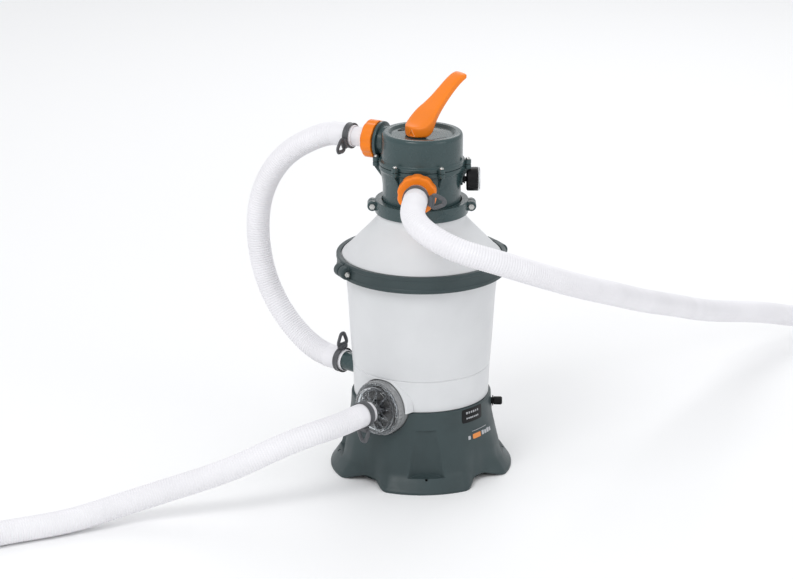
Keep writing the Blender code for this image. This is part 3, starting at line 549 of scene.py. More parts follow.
@dataclass(frozen=True)
class Clear:
    """Clear moulded plastic with a faint haze."""

    name: str
    colour: Triple
    rough: float = 0.06

    def make(self) -> bpy.types.Material:
        """Builds the material."""
        made = Shader(self.name)
        made.shade(made.noise(30.0, 3.0), scaled(self.colour, 0.95), self.colour)
        made.roughen(made.noise(60.0, 3.0), self.rough, self.rough + 0.03)
        made.set(Transmission_Weight=1.0, IOR=1.33, Coat_Weight=0.5, Coat_Roughness=0.04)
        return made.material


@dataclass(frozen=True)
class Rubber:
    """Dull black rubber."""

    name: str
    colour: Triple

    def make(self) -> bpy.types.Material:
        """Builds the material."""
        made = Shader(self.name)
        made.shade(made.noise(60.0, 4.0), scaled(self.colour, 0.8), scaled(self.colour, 1.5))
        made.roughen(made.noise(200.0, 3.0), 0.65, 0.85)
        made.relief(made.noise(1500.0, 2.0), 0.00005)
        return made.material


@dataclass(frozen=True)
class Winding:
    """Copper wire laid round a laminated core, as bands across the motor's length."""

    name: str
    colour: Triple

    def make(self) -> bpy.types.Material:
        """Builds the material."""
        made = Shader(self.name)
        strands = made.noise(260.0, 2.0, (1.0, 1.0, 7.0))
        made.shade(strands, scaled(self.colour, 0.45), self.colour)
        made.roughen(strands, 0.25, 0.5)
        made.relief(strands, 0.0003)
        made.set(Metallic=1.0)
        return made.material


class Finish(Enum):
    """The pump's finishes, each with the material slot of the record that it belongs to."""

    BASE = (
        Plastic("base_grey_green", (0.039, 0.058, 0.061), 0.42, 0.08, 1400.0, 0.00009, gloss=0.35),
        "housing_grey",
    )
    VALVE = (
        Plastic("valve_blue_grey", (0.034, 0.064, 0.067), 0.26, 0.05, 700.0, 0.00004, 0.15, 0.45),
        "valve_grey",
    )
    TANK = (Plastic("tank_off_white", (0.68, 0.69, 0.70), 0.40, 0.025, 500.0), "tank_white")
    HOSE = (
        Plastic("ribbed_white_plastic", (0.84, 0.83, 0.855), 0.42, 0.03, 600.0, 0.00004),
        "hose_white",
    )
    ORANGE = (
        Plastic("fitting_orange", (0.88, 0.215, 0.008), 0.33, 0.05, 800.0, 0.00004, gloss=0.35),
        "nut_orange",
    )
    BLACK = (Plastic("moulded_black", (0.006, 0.006, 0.007), 0.34, 0.15, gloss=0.22), "black_plastic")
    CLAMP = (Plastic("clamp_nylon_grey", (0.085, 0.088, 0.095), 0.40, 0.10), "clamp_grey")
    PRINT = (Plastic("print_pale_grey", (0.45, 0.46, 0.48), 0.45, 0.05), "black_plastic")
    SMOKE = (
        Plastic("smoked_grey", (0.26, 0.265, 0.27), 0.18, 0.12, 300.0, 0.00006, coat=0.6),
        "black_plastic",
    )
    POINTER = (Plastic("pointer_pale_orange", (0.90, 0.52, 0.22), 0.4, 0.05), "nut_orange")
    LABEL_ORANGE = (Plastic("label_orange", (0.75, 0.25, 0.05), 0.4), "nut_orange")
    DIAL = (Plastic("dial_white", (0.78, 0.78, 0.76), 0.45, 0.03), "tank_white")
    CLEAR = (Clear("glassy_plastic", (0.84, 0.87, 0.89), 0.02), "clear_cover")
    STEEL = (Metal("bright_steel", (0.62, 0.62, 0.60)), "steel")
    SEAL = (Rubber("dull_black_rubber", (0.016, 0.016, 0.016)), "seal_rubber")
    COPPER = (Winding("motor_winding", (0.62, 0.27, 0.13)), "winding")

    def material(self) -> bpy.types.Material:
        """The finish's material, made once."""
        recipe = self.value[0]
        return bpy.data.materials.get(recipe.name) or recipe.make()

    @property
    def record_slot(self) -> str:
        """Name of the record's material slot."""
        return self.value[1]


# ---------------------------------------------------------------- pieces


class Piece:
    """A finished mesh: its object sits at the origin, with its place in its mesh."""

    def __init__(
        self,
        name: str,
        shell: Shell,
        finish: Finish,
        body: str = ROOT,
        nodes: tuple[str, ...] = (),
        sharp: float = 38.0,
    ) -> None:
        """Makes the object and ties it to the frame.

        Args:
            name: the object's name.
            shell: its mesh.
            finish: its finish.
            body: the body it moves with.
            nodes: frame nodes that it stands for.
            sharp: edges bent more than this stay sharp, in degrees.
        """
        data = bpy.data.meshes.new(name)
        triangle = shell.faces[:, 2] == shell.faces[:, 3]
        sizes = np.where(triangle, 3, 4)
        corners = shell.faces[np.arange(4)[None, :] < sizes[:, None]]
        data.vertices.add(len(shell.points))
        data.vertices.foreach_set("co", shell.points.astype(np.float32).ravel())
        data.loops.add(len(corners))
        data.loops.foreach_set("vertex_index", corners.astype(np.int32))
        data.polygons.add(len(sizes))
        data.polygons.foreach_set("loop_start", np.concatenate([[0], np.cumsum(sizes)[:-1]]).astype(np.int32))
        data.update(calc_edges=True)
        data.validate()
        data.materials.append(finish.material())
        data.shade_smooth()
        data.set_sharp_from_angle(angle=math.radians(sharp))
        self.object = bpy.data.objects.new(name, data)
        bpy.context.scene.collection.objects.link(self.object)
        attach(self.object, body)
        if nodes:
            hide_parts(*nodes)
        log.info("%s: %d faces", name, len(sizes))

    def cut(self, *shells: Shell) -> None:
        """Cuts holes in the piece, and applies them to its mesh.

        Args:
            shells: the closed meshes that it loses.
        """
        whole = joined(shells)
        data = bpy.data.meshes.new("cutter")
        faces = [tuple(dict.fromkeys(face)) for face in whole.faces.tolist()]
        data.from_pydata(whole.points.tolist(), [], faces)
        cutter = bpy.data.objects.new("cutter", data)
        bpy.context.scene.collection.objects.link(cutter)
        step = self.object.modifiers.new("holes", "BOOLEAN")
        step.operation = "DIFFERENCE"
        step.object = cutter
        graph = bpy.context.evaluated_depsgraph_get()
        graph.update()
        cut_mesh = bpy.data.meshes.new_from_object(self.object.evaluated_get(graph))
        self.object.modifiers.clear()
        self.object.data = cut_mesh
        cut_mesh.set_sharp_from_angle(angle=math.radians(32.0))
        bpy.data.objects.remove(cutter, do_unlink=True)


def dress(nodes: dict[str, bpy.types.Object], finish: Finish, *names: str) -> None:
    """Gives frame nodes that keep their own shape a finish.

    Args:
        nodes: the frame's objects by name.
        finish: the finish.
        names: the nodes that take it.
    """
    for name in names:
        node = nodes[name]
        node.data.materials.clear()
        node.data.materials.append(finish.material())
        log.info("%s dressed in %s", name, finish.value[0].name)


# ---------------------------------------------------------------- hoses


class FarEnd(Enum):
    """How a hose ends."""

    BARE = "bare"
    FITTED = "object"


@dataclass
class Hose:
    """A ribbed hose with smooth cuffs, carried along its route."""

    name: str
    route: tuple[Triple, ...]
    length: float
    far_end: FarEnd
    across: Triple = (0.0, 0.0, 1.0)
    radius: float = 0.0190
    bore: float = 0.0159
    neck: float = 0.0174
    neck_length: float = 0.0090
    depth: float = 0.0240
    cuff: float = 0.0370
    pitch: float = 0.0042
    rib: float = 0.0010

    def ribs(self, low: float, high: float) -> Array:
        """The ribs, a groove at each pitch: R - d (1/2 - 1/2 cos)^1.5.

        Args:
            low: distance along the hose where they start.
            high: distance where they end.

        Returns:
            (distance, radius) rows.
        """
        count = max(int((high - low) / self.pitch), 1)
        turn = np.linspace(0.0, count, count * 6 + 1)
        groove = wave(2 * np.pi, turn) ** 1.5
        return np.stack([low + (high - low) * turn / count, self.radius - self.rib * groove], axis=-1)

    def end(self) -> Array:
        """Rows of (distance, radius) at a mouth: the bore, the lip, the neck and the cuff."""
        rows = [(self.depth, self.bore), (0.0012, self.bore), (0.0003, self.bore + 0.0004)]
        rows += [(0.0, self.neck - 0.0008), (0.0004, self.neck - 0.0002), (0.0012, self.neck)]
        rows += [(self.neck_length, self.neck), (self.neck_length + 0.0012, self.neck + 0.0004)]
        rows += [(self.neck_length + 0.0024, self.radius - 0.0002), (self.neck_length + 0.0036, self.radius)]
        rows += [(self.cuff - 0.0008, self.radius)]
        return np.array(rows)

    def profile(self, run: float) -> Array:
        """The whole outline of the hose: a mouth, the ribs, and the far mouth.

        Args:
            run: length of the centreline.

        Returns:
            (distance, radius) rows.
        """
        near = self.end()
        far = near[::-1].copy()
        far[:, 0] = run - far[:, 0]
        if self.far_end is FarEnd.BARE:
            outside = far[:, 1] > self.bore + 0.0001
            edge = run - far[outside, 0] <= 0.0011
            far[outside, 1] = np.where(edge, self.radius - 0.0005, self.radius)
        return np.concatenate([near, self.ribs(self.cuff, run - self.cuff), far])

    def build(self) -> None:
        path = smooth_path(np.array(self.route), 0.0012)
        run = float(np.linalg.norm(np.diff(path, axis=0), axis=1).sum())
        shell = carried(path, self.profile(run), np.array(self.across), sides=28)
        made = Piece(self.name, shell, Finish.HOSE, nodes=(self.name.replace("ribbed_", ""),), sharp=60.0)
        log.info("%s: %.3f m", self.name, run)


# ---------------------------------------------------------------- places on the pump

# Bearings are in degrees, heights and distances in metres.

PUMP_BEARING = -40.0
PUMP_OFFSET = 0.010
PUMP_HEIGHT = 0.129
OUTLET_RISE = 0.030
OUTLET_STATION = 0.046
RETURN_BEARING, RETURN_HEIGHT = -5.2, 0.480
WASTE_BEARING = 175.0
FEED_BEARING, FEED_HEIGHT = -118.0, 0.534
GAUGE_BEARING, GAUGE_HEIGHT = 90.0, 0.4795
DRAIN_BEARING, DRAIN_HEIGHT = 88.0, 0.107
GLAND_BEARING, GLAND_HEIGHT = 138.0, 0.045
LEVER_BEARING = 128.0
PIVOT_HEIGHT = 0.5625


def pump_place() -> Place:
    """Along the pump's axis, out through the strainer, with local X upwards."""
    point = bearing(PUMP_BEARING + 90.0, PUMP_OFFSET, PUMP_HEIGHT)
    return Place.along(point, bearing(PUMP_BEARING))


def outlet_place() -> Place:
    """Along the pump's outlet pipe, from the point where it crosses the pump's axis."""
    point = bearing(PUMP_BEARING, OUTLET_STATION, PUMP_HEIGHT + OUTLET_RISE)
    return Place.along(point, -bearing(PUMP_BEARING + 90.0))


def outlet_hole() -> Shell:
    """What the base and the tank lose to let the outlet pipe through."""
    return pin(0.0160, 0.06, 0.14, 0.0005, 40).at(outlet_place())


def port_place(degrees: float, height: float) -> Place:
    """Straight out from the tank's axis at a bearing and a height, with local X upwards."""
    return Place.along(vector(0.0, 0.0, height), bearing(degrees))


# ---------------------------------------------------------------- clamps and routes


@dataclass
class HoseClamp:
    """A band of two beads round a hose's cuff, with a screw block and a looped wing."""

    name: str
    place: Place
    start: float
    wing_turn: float
    body: str = ROOT
    bore: float = 0.0193
    width: float = 0.0100
    thick: float = 0.0014

    def band(self) -> Shell:
        """The band: a flat ring with a raised bead along each edge."""
        low, high = self.start, self.start + self.width
        inner, outer = self.bore, self.bore + self.thick
        rows = [(inner, low), (outer, low), (outer, low + 0.0028), (outer - 0.0007, low + 0.0036)]
        rows += [(outer - 0.0007, high - 0.0036), (outer, high - 0.0028), (outer, high), (inner, high)]
        return lathe(eased(rows, 0.0005), 72)

    def wing(self) -> Shell:
        """The wing: a bar of round section bent round a rounded triangle, closed on itself."""
        corners = [(-0.0010, -0.0098), (0.0040, -0.0098), (0.0172, -0.0036)]
        corners += [(x, -y) for x, y in reversed(corners)]
        line = eased(corners, 0.0045, 10)
        ahead = unit(np.roll(line, -1, axis=0) - np.roll(line, 1, axis=0))
        angle = whole_turn(14)
        side = np.stack([-ahead[:, 1], ahead[:, 0]], axis=-1)
        flat = line[:, None] + side[:, None] * (0.0034 * np.cos(angle))[None, :, None]
        lift = np.broadcast_to((0.0023 * np.sin(angle))[None, :, None], (*flat.shape[:2], 1))
        return skin(np.concatenate([flat, lift], axis=-1), wrap_v=True)

    def build(self) -> None:
        """Makes the clamp as one piece."""
        turned = self.place.turned(self.wing_turn)
        top = self.bore + self.thick
        middle = self.start + self.width / 2
        block = brick((0.0064, 0.0165, 0.0090), 0.0010, (top + 0.0026, 0.0, middle))
        across = Place.along((top + 0.0030, 0.0, middle), (0.0, 1.0, 0.0))
        screw = pin(0.0022, -0.0088, 0.0088, 0.0005, 18).at(across)
        wing = self.wing().at(Place((top + 0.0068, 0.0, middle), np.eye(3)))
        shell = self.band().at(self.place) + (block + screw + wing).at(turned)
        Piece(f"banded_{self.name}", shell, Finish.CLAMP, self.body, (self.name,))


@dataclass
class Hoses:
    """The three hoses and their clamps."""

    inlet: tuple[Triple, ...] = (
        (-0.0994, -0.1340, 0.129),
        (-0.1080, -0.1443, 0.129),
        (-0.1190, -0.1570, 0.1285),
        (-0.157, -0.187, 0.125),
        (-0.210, -0.205, 0.111),
        (-0.281, -0.222, 0.083),
        (-0.372, -0.236, 0.054),
        (-0.475, -0.262, 0.029),
        (-0.541, -0.295, 0.0205),
        (-0.628, -0.335, 0.0195),
        (-0.700, -0.371, 0.0195),
    )
    curl_centre: tuple[float, float] = (-0.840, -0.266)
    curl_radius: float = 0.150
    curl_first: float = -62.0
    curl_step: float = -36.0
    floor_height: float = 0.0195
    supply: tuple[Triple, ...] = (
        (-0.0118, -0.1308, 0.480),
        (-0.0145, -0.160, 0.4795),
        (-0.0150, -0.192, 0.477),
        (-0.006, -0.224, 0.470),
        (0.018, -0.251, 0.4585),
        (0.055, -0.265, 0.444),
        (0.100, -0.262, 0.4285),
        (0.150, -0.243, 0.407),
        (0.235, -0.175, 0.3605),
        (0.300, -0.090, 0.318),
        (0.352, 0.010, 0.274),
        (0.400, 0.120, 0.2303),
        (0.445, 0.230, 0.187),
        (0.497, 0.335, 0.145),
        (0.560, 0.435, 0.1085),
        (0.630, 0.520, 0.0765),
        (0.705, 0.590, 0.045),
        (0.785, 0.648, 0.025),
        (0.865, 0.688, 0.0195),
    )
    loop: tuple[Triple, ...] = (
        (-0.1406, 0.0580, 0.159),
        (-0.1500, 0.0659, 0.1595),
        (-0.1700, 0.0820, 0.1645),
        (-0.200, 0.1030, 0.185),
        (-0.229, 0.119, 0.220),
        (-0.249, 0.130, 0.258),
        (-0.262, 0.137, 0.302),
        (-0.267, 0.139, 0.357),
        (-0.261, 0.136, 0.408),
        (-0.242, 0.127, 0.455),
        (-0.212, 0.112, 0.493),
        (-0.175, 0.0930, 0.5195),
        (-0.1420, 0.0757, 0.5330),
        (-0.1284, 0.0685, 0.534),
    )
    overlap: float = 0.0255

    def curl(self) -> tuple[Triple, ...]:
        """The laid turn at the inlet hose's end: nine points round a circle on the floor."""
        angle = np.radians(self.curl_first + self.curl_step * np.arange(9))
        x = self.curl_centre[0] + self.curl_radius * np.cos(angle)
        y = self.curl_centre[1] + self.curl_radius * np.sin(angle)
        height = np.full_like(angle, self.floor_height)
        return tuple(map(tuple, np.stack([x, y, height], axis=-1).tolist()))

    def onto(self, place: Place, point: Triple) -> Triple:
        """Where a hose's mouth lies on its spigot: back along the spigot from the route's end."""
        return tuple((np.array(point) - place.axes[2] * self.overlap).tolist())

    def build(self) -> None:
        """Makes the hoses, then the clamps."""
        pump, outlet = pump_place(), outlet_place()
        supply, feed = port_place(RETURN_BEARING, RETURN_HEIGHT), port_place(FEED_BEARING, FEED_HEIGHT)
        inlet = (self.onto(pump, self.inlet[0]), *self.inlet, *self.curl())
        Hose("ribbed_hose_inlet", inlet, 1.52, FarEnd.BARE).build()
        back = (self.onto(supply, self.supply[0]), *self.supply)
        Hose("ribbed_hose_return", back, 1.58, FarEnd.BARE).build()
        loop = (self.onto(outlet, self.loop[0]), *self.loop, self.onto(feed, self.loop[-1]))
        plane = tuple(bearing(FEED_BEARING + 90.0).tolist())
        Hose("ribbed_hose_loop", loop, 0.585, FarEnd.FITTED, plane).build()
        HoseClamp("clamp_inlet", pump, 0.1500, 180.0, "strainer_lid").build()
        HoseClamp("clamp_return", supply, 0.1110, -95.0).build()
        HoseClamp("clamp_loop_top", feed, 0.1230, 250.0).build()
        HoseClamp("clamp_loop_bottom", outlet, 0.1234, 0.0).build()


# ---------------------------------------------------------------- base


def interpolated(at: Array, stations: Array, values: Array) -> Array:
    """A smooth curve through values at stations: the Hermite cubic with central slopes.

    Args:
        at: where it is read.
        stations: rising places of the values.
        values: the values that it passes through.

    Returns:
        The curve's values.
    """
    slope = np.gradient(values, stations)
    k = np.clip(np.searchsorted(stations, at, side="right") - 1, 0, len(stations) - 2)
    gap = stations[k + 1] - stations[k]
    t = np.clip((at - stations[k]) / gap, 0.0, 1.0)
    curve = (2 * t**3 - 3 * t**2 + 1) * values[k] + (t**3 - 2 * t**2 + t) * gap * slope[k]
    return curve + (-2 * t**3 + 3 * t**2) * values[k + 1] + (t**3 - t**2) * gap * slope[k + 1]


@dataclass
class Base:
    """The skirt on four feet, with a scooped recess and a screw ledge in each foot."""

    top: float = 0.125
    wall: float = 0.0035
    turn: float = 3.2
    arch_rise: float = 0.010
    heights: Array = field(
        default_factory=lambda: vector(0.0, 0.003, 0.015, 0.026, 0.0345, 0.045, 0.071, 0.097, 0.125)
    )
    foot_radii: Array = field(
        default_factory=lambda: vector(0.1470, 0.1462, 0.1392, 0.1318, 0.129, 0.127, 0.1205, 0.1145, 0.1125)
    )
    arch_radii: Array = field(
        default_factory=lambda: vector(0.1242, 0.1242, 0.1236, 0.1227, 0.1222, 0.1215, 0.118, 0.1142, 0.1125)
    )
    recess_low: float = 0.0225
    recess_high: float = 0.097
    floor_radius: float = 0.112
    ledge_radius: float = 0.1335

    def share(self, degrees: Array) -> Array:
        """1 over a foot and 0 in an arch, with a smooth step 3t^2 - 2t^3 between."""
        off = np.abs((degrees - self.turn + 45.0) % 90.0 - 45.0)
        step = np.clip((42.0 - off) / 17.0, 0.0, 1.0)
        return step * step * (3 - 2 * step)

    def radius(self, degrees: Array, height: Array, recess: bool = True) -> Array:
        """The wall's radius, drawn in over each foot's recess.

        The recess's back runs b + d (1 - sqrt(1 - x^2)) across the foot, x being the distance from
        its middle over its half width, with b, d and the half width falling as it rises.

        Args:
            degrees: bearings.
            height: heights.
            recess: whether the recesses are cut.

        Returns:
            The radii.
        """
        share = self.share(degrees)
        foot = interpolated(height, self.heights, self.foot_radii)
        arch = interpolated(height, self.heights, self.arch_radii)
        plain = arch + (foot - arch) * share
        plain = plain + 0.0009 * share * np.exp(-(((height - 0.0035) / 0.0018) ** 2))
        if not recess:
            return plain
        off = np.radians((degrees - self.turn + 45.0) % 90.0 - 45.0)
        rise = np.clip((height - self.recess_low) / (self.recess_high - self.recess_low), 0.0, 1.0)
        across = np.clip(np.abs(0.124 * np.sin(off)) / (0.034 - 0.008 * rise), 0.0, 1.0)
        back = 0.116 - 0.0065 * rise + (0.034 - 0.022 * rise) * (1 - np.sqrt(1 - across**2))
        inside = (height > self.recess_low) & (height < self.recess_high) & (across < 1.0)
        return np.where(inside, np.minimum(plain, back / np.cos(off)), plain)

    def shell(self) -> Shell:
        """Outer wall, rim and inner wall as one closed grid of bearings and heights."""
        low, high, step = self.recess_low, self.recess_high, 0.0002
        outer = np.concatenate([np.linspace(0.0, 0.006, 9), np.linspace(0.0075, low - 0.0004, 11)])
        outer = np.concatenate([outer, [low, low + step], np.linspace(low + 0.001, high - 0.001, 52)])
        outer = np.concatenate([outer, [high - step, high], np.linspace(high + 0.002, self.top - 0.0012, 13)])
        inner = np.linspace(self.top - 0.004, high + 0.003, 6)
        inner = np.concatenate([inner, np.linspace(high - 0.001, 0.0, 24)])
        degrees = np.linspace(0.0, 360.0, 480, endpoint=False)
        rise = self.arch_rise * (1 - self.share(degrees))

        def wall(heights: Array, inset: float) -> Array:
            """Points of a wall, its foot lifted in the arches: h + rise (1 - h / 20 mm)^1.5."""
            h, d = np.meshgrid(heights, degrees, indexing="ij")
            lifted = h + rise[None, :] * np.clip(1 - h / 0.020, 0.0, 1.0) ** 1.5
            return bearing(d, self.radius(d, h) - inset, lifted)

        edge = self.radius(degrees, np.full_like(degrees, self.top))
        drops = ((0.0003, 0.0005), (0.0010, 0.0001), (0.0060, 0.0))
        eave = [bearing(degrees, edge - inset, self.top - drop) for inset, drop in drops]
        grid = np.concatenate([wall(outer, 0.0), np.stack(eave), wall(inner, self.wall)])
        return skin(grid, wrap_v=True)

    def patch(
        self, middle: float, half: float, low: float, high: float, lift: float, thick: float = 0.0006
    ) -> Shell:
        """A thin plate lying on the wall, its corners eased by sqrt(1 - x^6 / 10).

        Args:
            middle: its middle bearing.
            half: half of its width, in degrees.
            low: its lower edge.
            high: its upper edge.
            lift: how far its face stands off the wall.
            thick: its thickness.

        Returns:
            The mesh, facing out.
        """
        u = np.linspace(-1.0, 1.0, 40)
        v = np.linspace(-1.0, 1.0, 24)
        uu, vv = np.meshgrid(u, v)
        corner = np.sqrt(1 - 0.10 * vv**6)
        degrees = middle + half * uu * corner
        height = (low + high) / 2 + (high - low) / 2 * vv * np.sqrt(1 - 0.10 * uu**6)
        outer = bearing(degrees, self.radius(degrees, height, False) + lift, height)
        inner = bearing(degrees, self.radius(degrees, height, False) + lift - thick, height)
        return skin(np.concatenate([outer, inner[:, ::-1]], axis=1), wrap_v=True, caps=True)

    def build(self) -> None:
        """Makes the skirt, its openings, its panel and label, and the pieces set in it."""
        base = Piece("moulded_base", self.shell(), Finish.BASE, nodes=("base_housing",), sharp=30.0)
        ledges = bearing(self.turn + 90.0 * np.arange(4), self.ledge_radius)
        holes = [pin(0.0026, 0.010, 0.030, 0.0003, 20).at(Place(point, np.eye(3))) for point in ledges]
        bore = pin(0.0453, 0.0700, 0.1700, 0.0005, 96).at(pump_place())
        drain = pin(0.0062, 0.09, 0.14, 0.0003, 32).at(port_place(DRAIN_BEARING, DRAIN_HEIGHT))
        gland = pin(0.0070, 0.09, 0.14, 0.0003, 24).at(port_place(GLAND_BEARING, GLAND_HEIGHT))
        base.cut(*holes, bore, drain, outlet_hole(), gland)
        self.marks()
        Piece("base_floor", self.floor(), Finish.BASE, nodes=("bottom_cover",))
        self.fittings()

    def floor(self) -> Shell:
        """The floor, with two saddles under the motor."""
        corners = [(0.0, 0.0), (self.floor_radius, 0.0), (self.floor_radius, 0.004), (0.0, 0.004)]
        disc = lathe(eased(corners, 0.0006, 4, False), 128)
        saddle = brick((0.006, 0.064, 0.083), 0.0008, (0.0, 0.0, 0.0445))
        turn = Place.along((0.0, 0.0, 0.0), UP, bearing(PUMP_BEARING))
        spots = [pump_place()(vector(0.0, 0.0, station)) * vector(1, 1, 0) for station in (-0.060, -0.004)]
        return joined([disc, *(saddle.at(Place(spot, turn.axes)) for spot in spots)])

    def marks(self) -> None:
        """The switch panel with its marks, and a plain two-tone label under it: bars, no lettering."""
        plate = self.patch(46.0, 11.6, 0.1006, 0.1234, 0.0003, 0.0030)
        Piece("switch_panel", plate, Finish.BLACK, nodes=("label_panel",))
        bars = []
        for row, (height, tall) in enumerate(((0.1168, 0.0036), (0.1078, 0.0026))):
            low, high = height - tall / 2, height + tall / 2
            for k, start in enumerate(np.linspace(39.5, 52.0, 6 + row)):
                half = 0.87 if (k + row) % 3 == 0 else 0.62
                bars.append(self.patch(start, half, low, high, 0.0007))
        Piece("panel_marks", joined(bars), Finish.PRINT)
        Piece("label_middle", self.patch(49.0, 4.6, 0.0715, 0.0795, 0.0004), Finish.LABEL_ORANGE)
        middles = (40.5, 56.5, 59.8, 63.1, 66.4)
        tops = [0.0785 + 0.0010 * (k % 2) for k in range(len(middles))]
        pale = [self.patch(middle, 1.25, 0.0725, top, 0.0004) for middle, top in zip(middles, tops)]
        Piece("label_right", joined([*pale, self.patch(53.0, 9.0, 0.0838, 0.0848, 0.0004)]), Finish.PRINT)

    def fittings(self) -> None:
        """The drain with its cap, and the cable gland."""
        spot = port_place(DRAIN_BEARING, DRAIN_HEIGHT)
        spout = [(0.0, 0.104), (0.0054, 0.104), (0.0054, 0.1150), (0.0085, 0.1152)]
        spout += [(0.0085, 0.1166), (0.0050, 0.1174), (0.0050, 0.1235), (0.0, 0.1235)]
        pipe = lathe(eased(spout, 0.0004, 4, False), 48).at(spot)
        Piece("drain_pipe", pipe, Finish.BLACK, nodes=("drain_spout",))
        cap = [(0.0, 0.1240), (0.0053, 0.1240), (0.0053, 0.1176), (0.0067, 0.1176)]
        cap += [(0.0067, 0.1295), (0.0050, 0.1313), (0.0, 0.1313)]
        outline = eased(cap, 0.0007, 5, False)
        grip = ((outline[:, 0] > 0.0060) & (outline[:, 1] > 0.1180) & (outline[:, 1] < 0.1290))[:, None]
        ridges = 0.00035 * wave(20, whole_turn(120))[None, :] * grip
        plug = lathe(outline, 120, lobe=ridges).at(spot)
        Piece("ridged_drain_cap", plug, Finish.BLACK, "drain_plug", ("drain_cap",))
        gland = [(0.0036, 0.1150), (0.0068, 0.1150), (0.0068, 0.1226), (0.0095, 0.1240)]
        gland += [(0.0095, 0.1280), (0.0060, 0.1358), (0.0036, 0.1358)]
        entry = lathe(eased(gland, 0.0006), 48).at(port_place(GLAND_BEARING, GLAND_HEIGHT))
        Piece("cable_entry", entry, Finish.BLACK, nodes=("cable_gland",))


# ---------------------------------------------------------------- strainer and pump


@dataclass
class Strainer:
    """The clear-lidded strainer in front of the pump, and the pump's outlet pipe."""

    steps: int = 240
    knurls: int = 40
    slots: int = 30
    spokes: int = 8
    notches: int = 12
    lid_ribs: int = 12
    rib_slope: float = 9.5

    def body(self) -> Shell:
        """The smoke-grey pot, with a knurled ring behind its lid."""
        corners = [(0.014, 0.0625), (0.0375, 0.0625), (0.0375, 0.0930), (0.0440, 0.0960), (0.0440, 0.1100)]
        corners += [(0.0430, 0.1106), (0.0430, 0.1118), (0.0446, 0.1124), (0.0446, 0.1203)]
        corners += [(0.0385, 0.1203), (0.0385, 0.1160), (0.0345, 0.1160), (0.0345, 0.0655), (0.014, 0.0655)]
        outline = eased(corners, 0.0007, 5)
        ring = ((outline[:, 0] > 0.0436) & (outline[:, 1] > 0.1120) & (outline[:, 1] < 0.1205))[:, None]
        knurl = 0.0009 * wave(self.knurls, whole_turn(self.steps)) ** 2
        return lathe(outline, self.steps, lobe=knurl[None, :] * ring)

    def basket(self) -> Shell:
        """The basket inside, a cup whose wall waves between slots, with a spoked wheel over its mouth."""
        corners = [(0.0, 0.0700), (0.0308, 0.0700), (0.0320, 0.1150), (0.0333, 0.1168)]
        corners += [(0.0306, 0.1168), (0.0294, 0.0722), (0.0, 0.0722)]
        outline = eased(corners, 0.0006, 4, False)
        tall = ((outline[:, 0] > 0.028) & (outline[:, 0] < 0.0331))[:, None]
        waves = 0.0007 * wave(self.slots, whole_turn(self.steps))[None, :] * tall
        cup = lathe(outline, self.steps, lobe=waves)
        hub = pin(0.0075, 0.1178, 0.1200, 0.0006, 40)
        rim = sleeve(0.0285, 0.0318, 0.1170, 0.1200, 0.0006, 96)
        spoke = brick((0.0235, 0.0034, 0.0016), 0.0004, (0.0180, 0.0, 0.1190))
        turns = 360.0 / self.spokes * np.arange(self.spokes) + 10.0
        return joined([cup, hub, rim, *(spoke.at(WORLD.turned(turn)) for turn in turns)])

    def lid(self) -> Shell:
        """The clear lid: a notched flange, a dome and the hose spigot, all one wall."""
        corners = [(0.0127, 0.1650), (0.0127, 0.1312), (0.0330, 0.1287), (0.0340, 0.1212), (0.0425, 0.1212)]
        corners += [(0.0425, 0.1258), (0.0368, 0.1268), (0.0364, 0.1322), (0.0325, 0.1341), (0.0178, 0.1368)]
        corners += [(0.0154, 0.1386), (0.0154, 0.1650)]
        ease = 1e-4 * vector(6, 30, 20, 8, 8, 12, 10, 30, 20, 20, 12, 6)
        outline = eased(corners, ease, 6)
        rim = ((outline[:, 0] > 0.0418) & (outline[:, 1] < 0.1262))[:, None]
        notch = 0.0012 * np.clip(np.cos(self.notches * whole_turn(self.steps)), 0.0, 1.0) ** 6
        return lathe(outline, self.steps, lobe=notch[None, :] * rim)

    def ribs(self) -> Shell:
        """Raised spokes on the dome, low bars fanned round the spigot and leaning with the dome."""
        tilt = math.radians(self.rib_slope)
        along, out = vector(math.cos(tilt), 0.0, -math.sin(tilt)), vector(math.sin(tilt), 0.0, math.cos(tilt))
        lean = Place(vector(0.0252, 0.0, 0.1358), np.stack([along, vector(0.0, 1.0, 0.0), out]))
        bar = brick((0.0165, 0.0016, 0.0018), 0.0004).at(lean)
        turns = 360.0 / self.lid_ribs * (np.arange(self.lid_ribs) + 0.5)
        return joined(bar.at(WORLD.turned(turn)) for turn in turns)

    def outlet(self) -> Shell:
        """The pump's volute with its outlet pipe, which ends in a hose spigot."""
        corners = [(0.013, 0.0620), (0.0430, 0.0620), (0.0460, 0.0590), (0.0460, 0.0300)]
        corners += [(0.0425, 0.0300), (0.0425, 0.0590), (0.013, 0.0590)]
        volute = lathe(eased(corners, 0.0012), 96).at(pump_place())
        pipe = [(0.0121, 0.0480), (0.0149, 0.0480), (0.0149, 0.1190), (0.0157, 0.1200), (0.0149, 0.1230)]
        pipe += [(0.0149, 0.1300), (0.0157, 0.1310), (0.0149, 0.1340), (0.0149, 0.1422), (0.0121, 0.1422)]
        return volute + lathe(eased(pipe, 0.0004, 3), 64).at(outlet_place())

    def build(self) -> None:
        """Makes the strainer's pieces and the outlet."""
        where = pump_place()
        Piece("strainer_pot", self.body().at(where), Finish.SMOKE, nodes=("strainer_body",))
        Piece("strainer_cup", self.basket().at(where), Finish.CLAMP, nodes=("strainer_basket",))
        lid = self.lid() + self.ribs()
        Piece("clear_lid", lid.at(where), Finish.CLEAR, "strainer_lid", ("strainer_cover",))
        Piece("pump_outlet", self.outlet(), Finish.VALVE, nodes=("pump_casing",))


# ---------------------------------------------------------------- tank


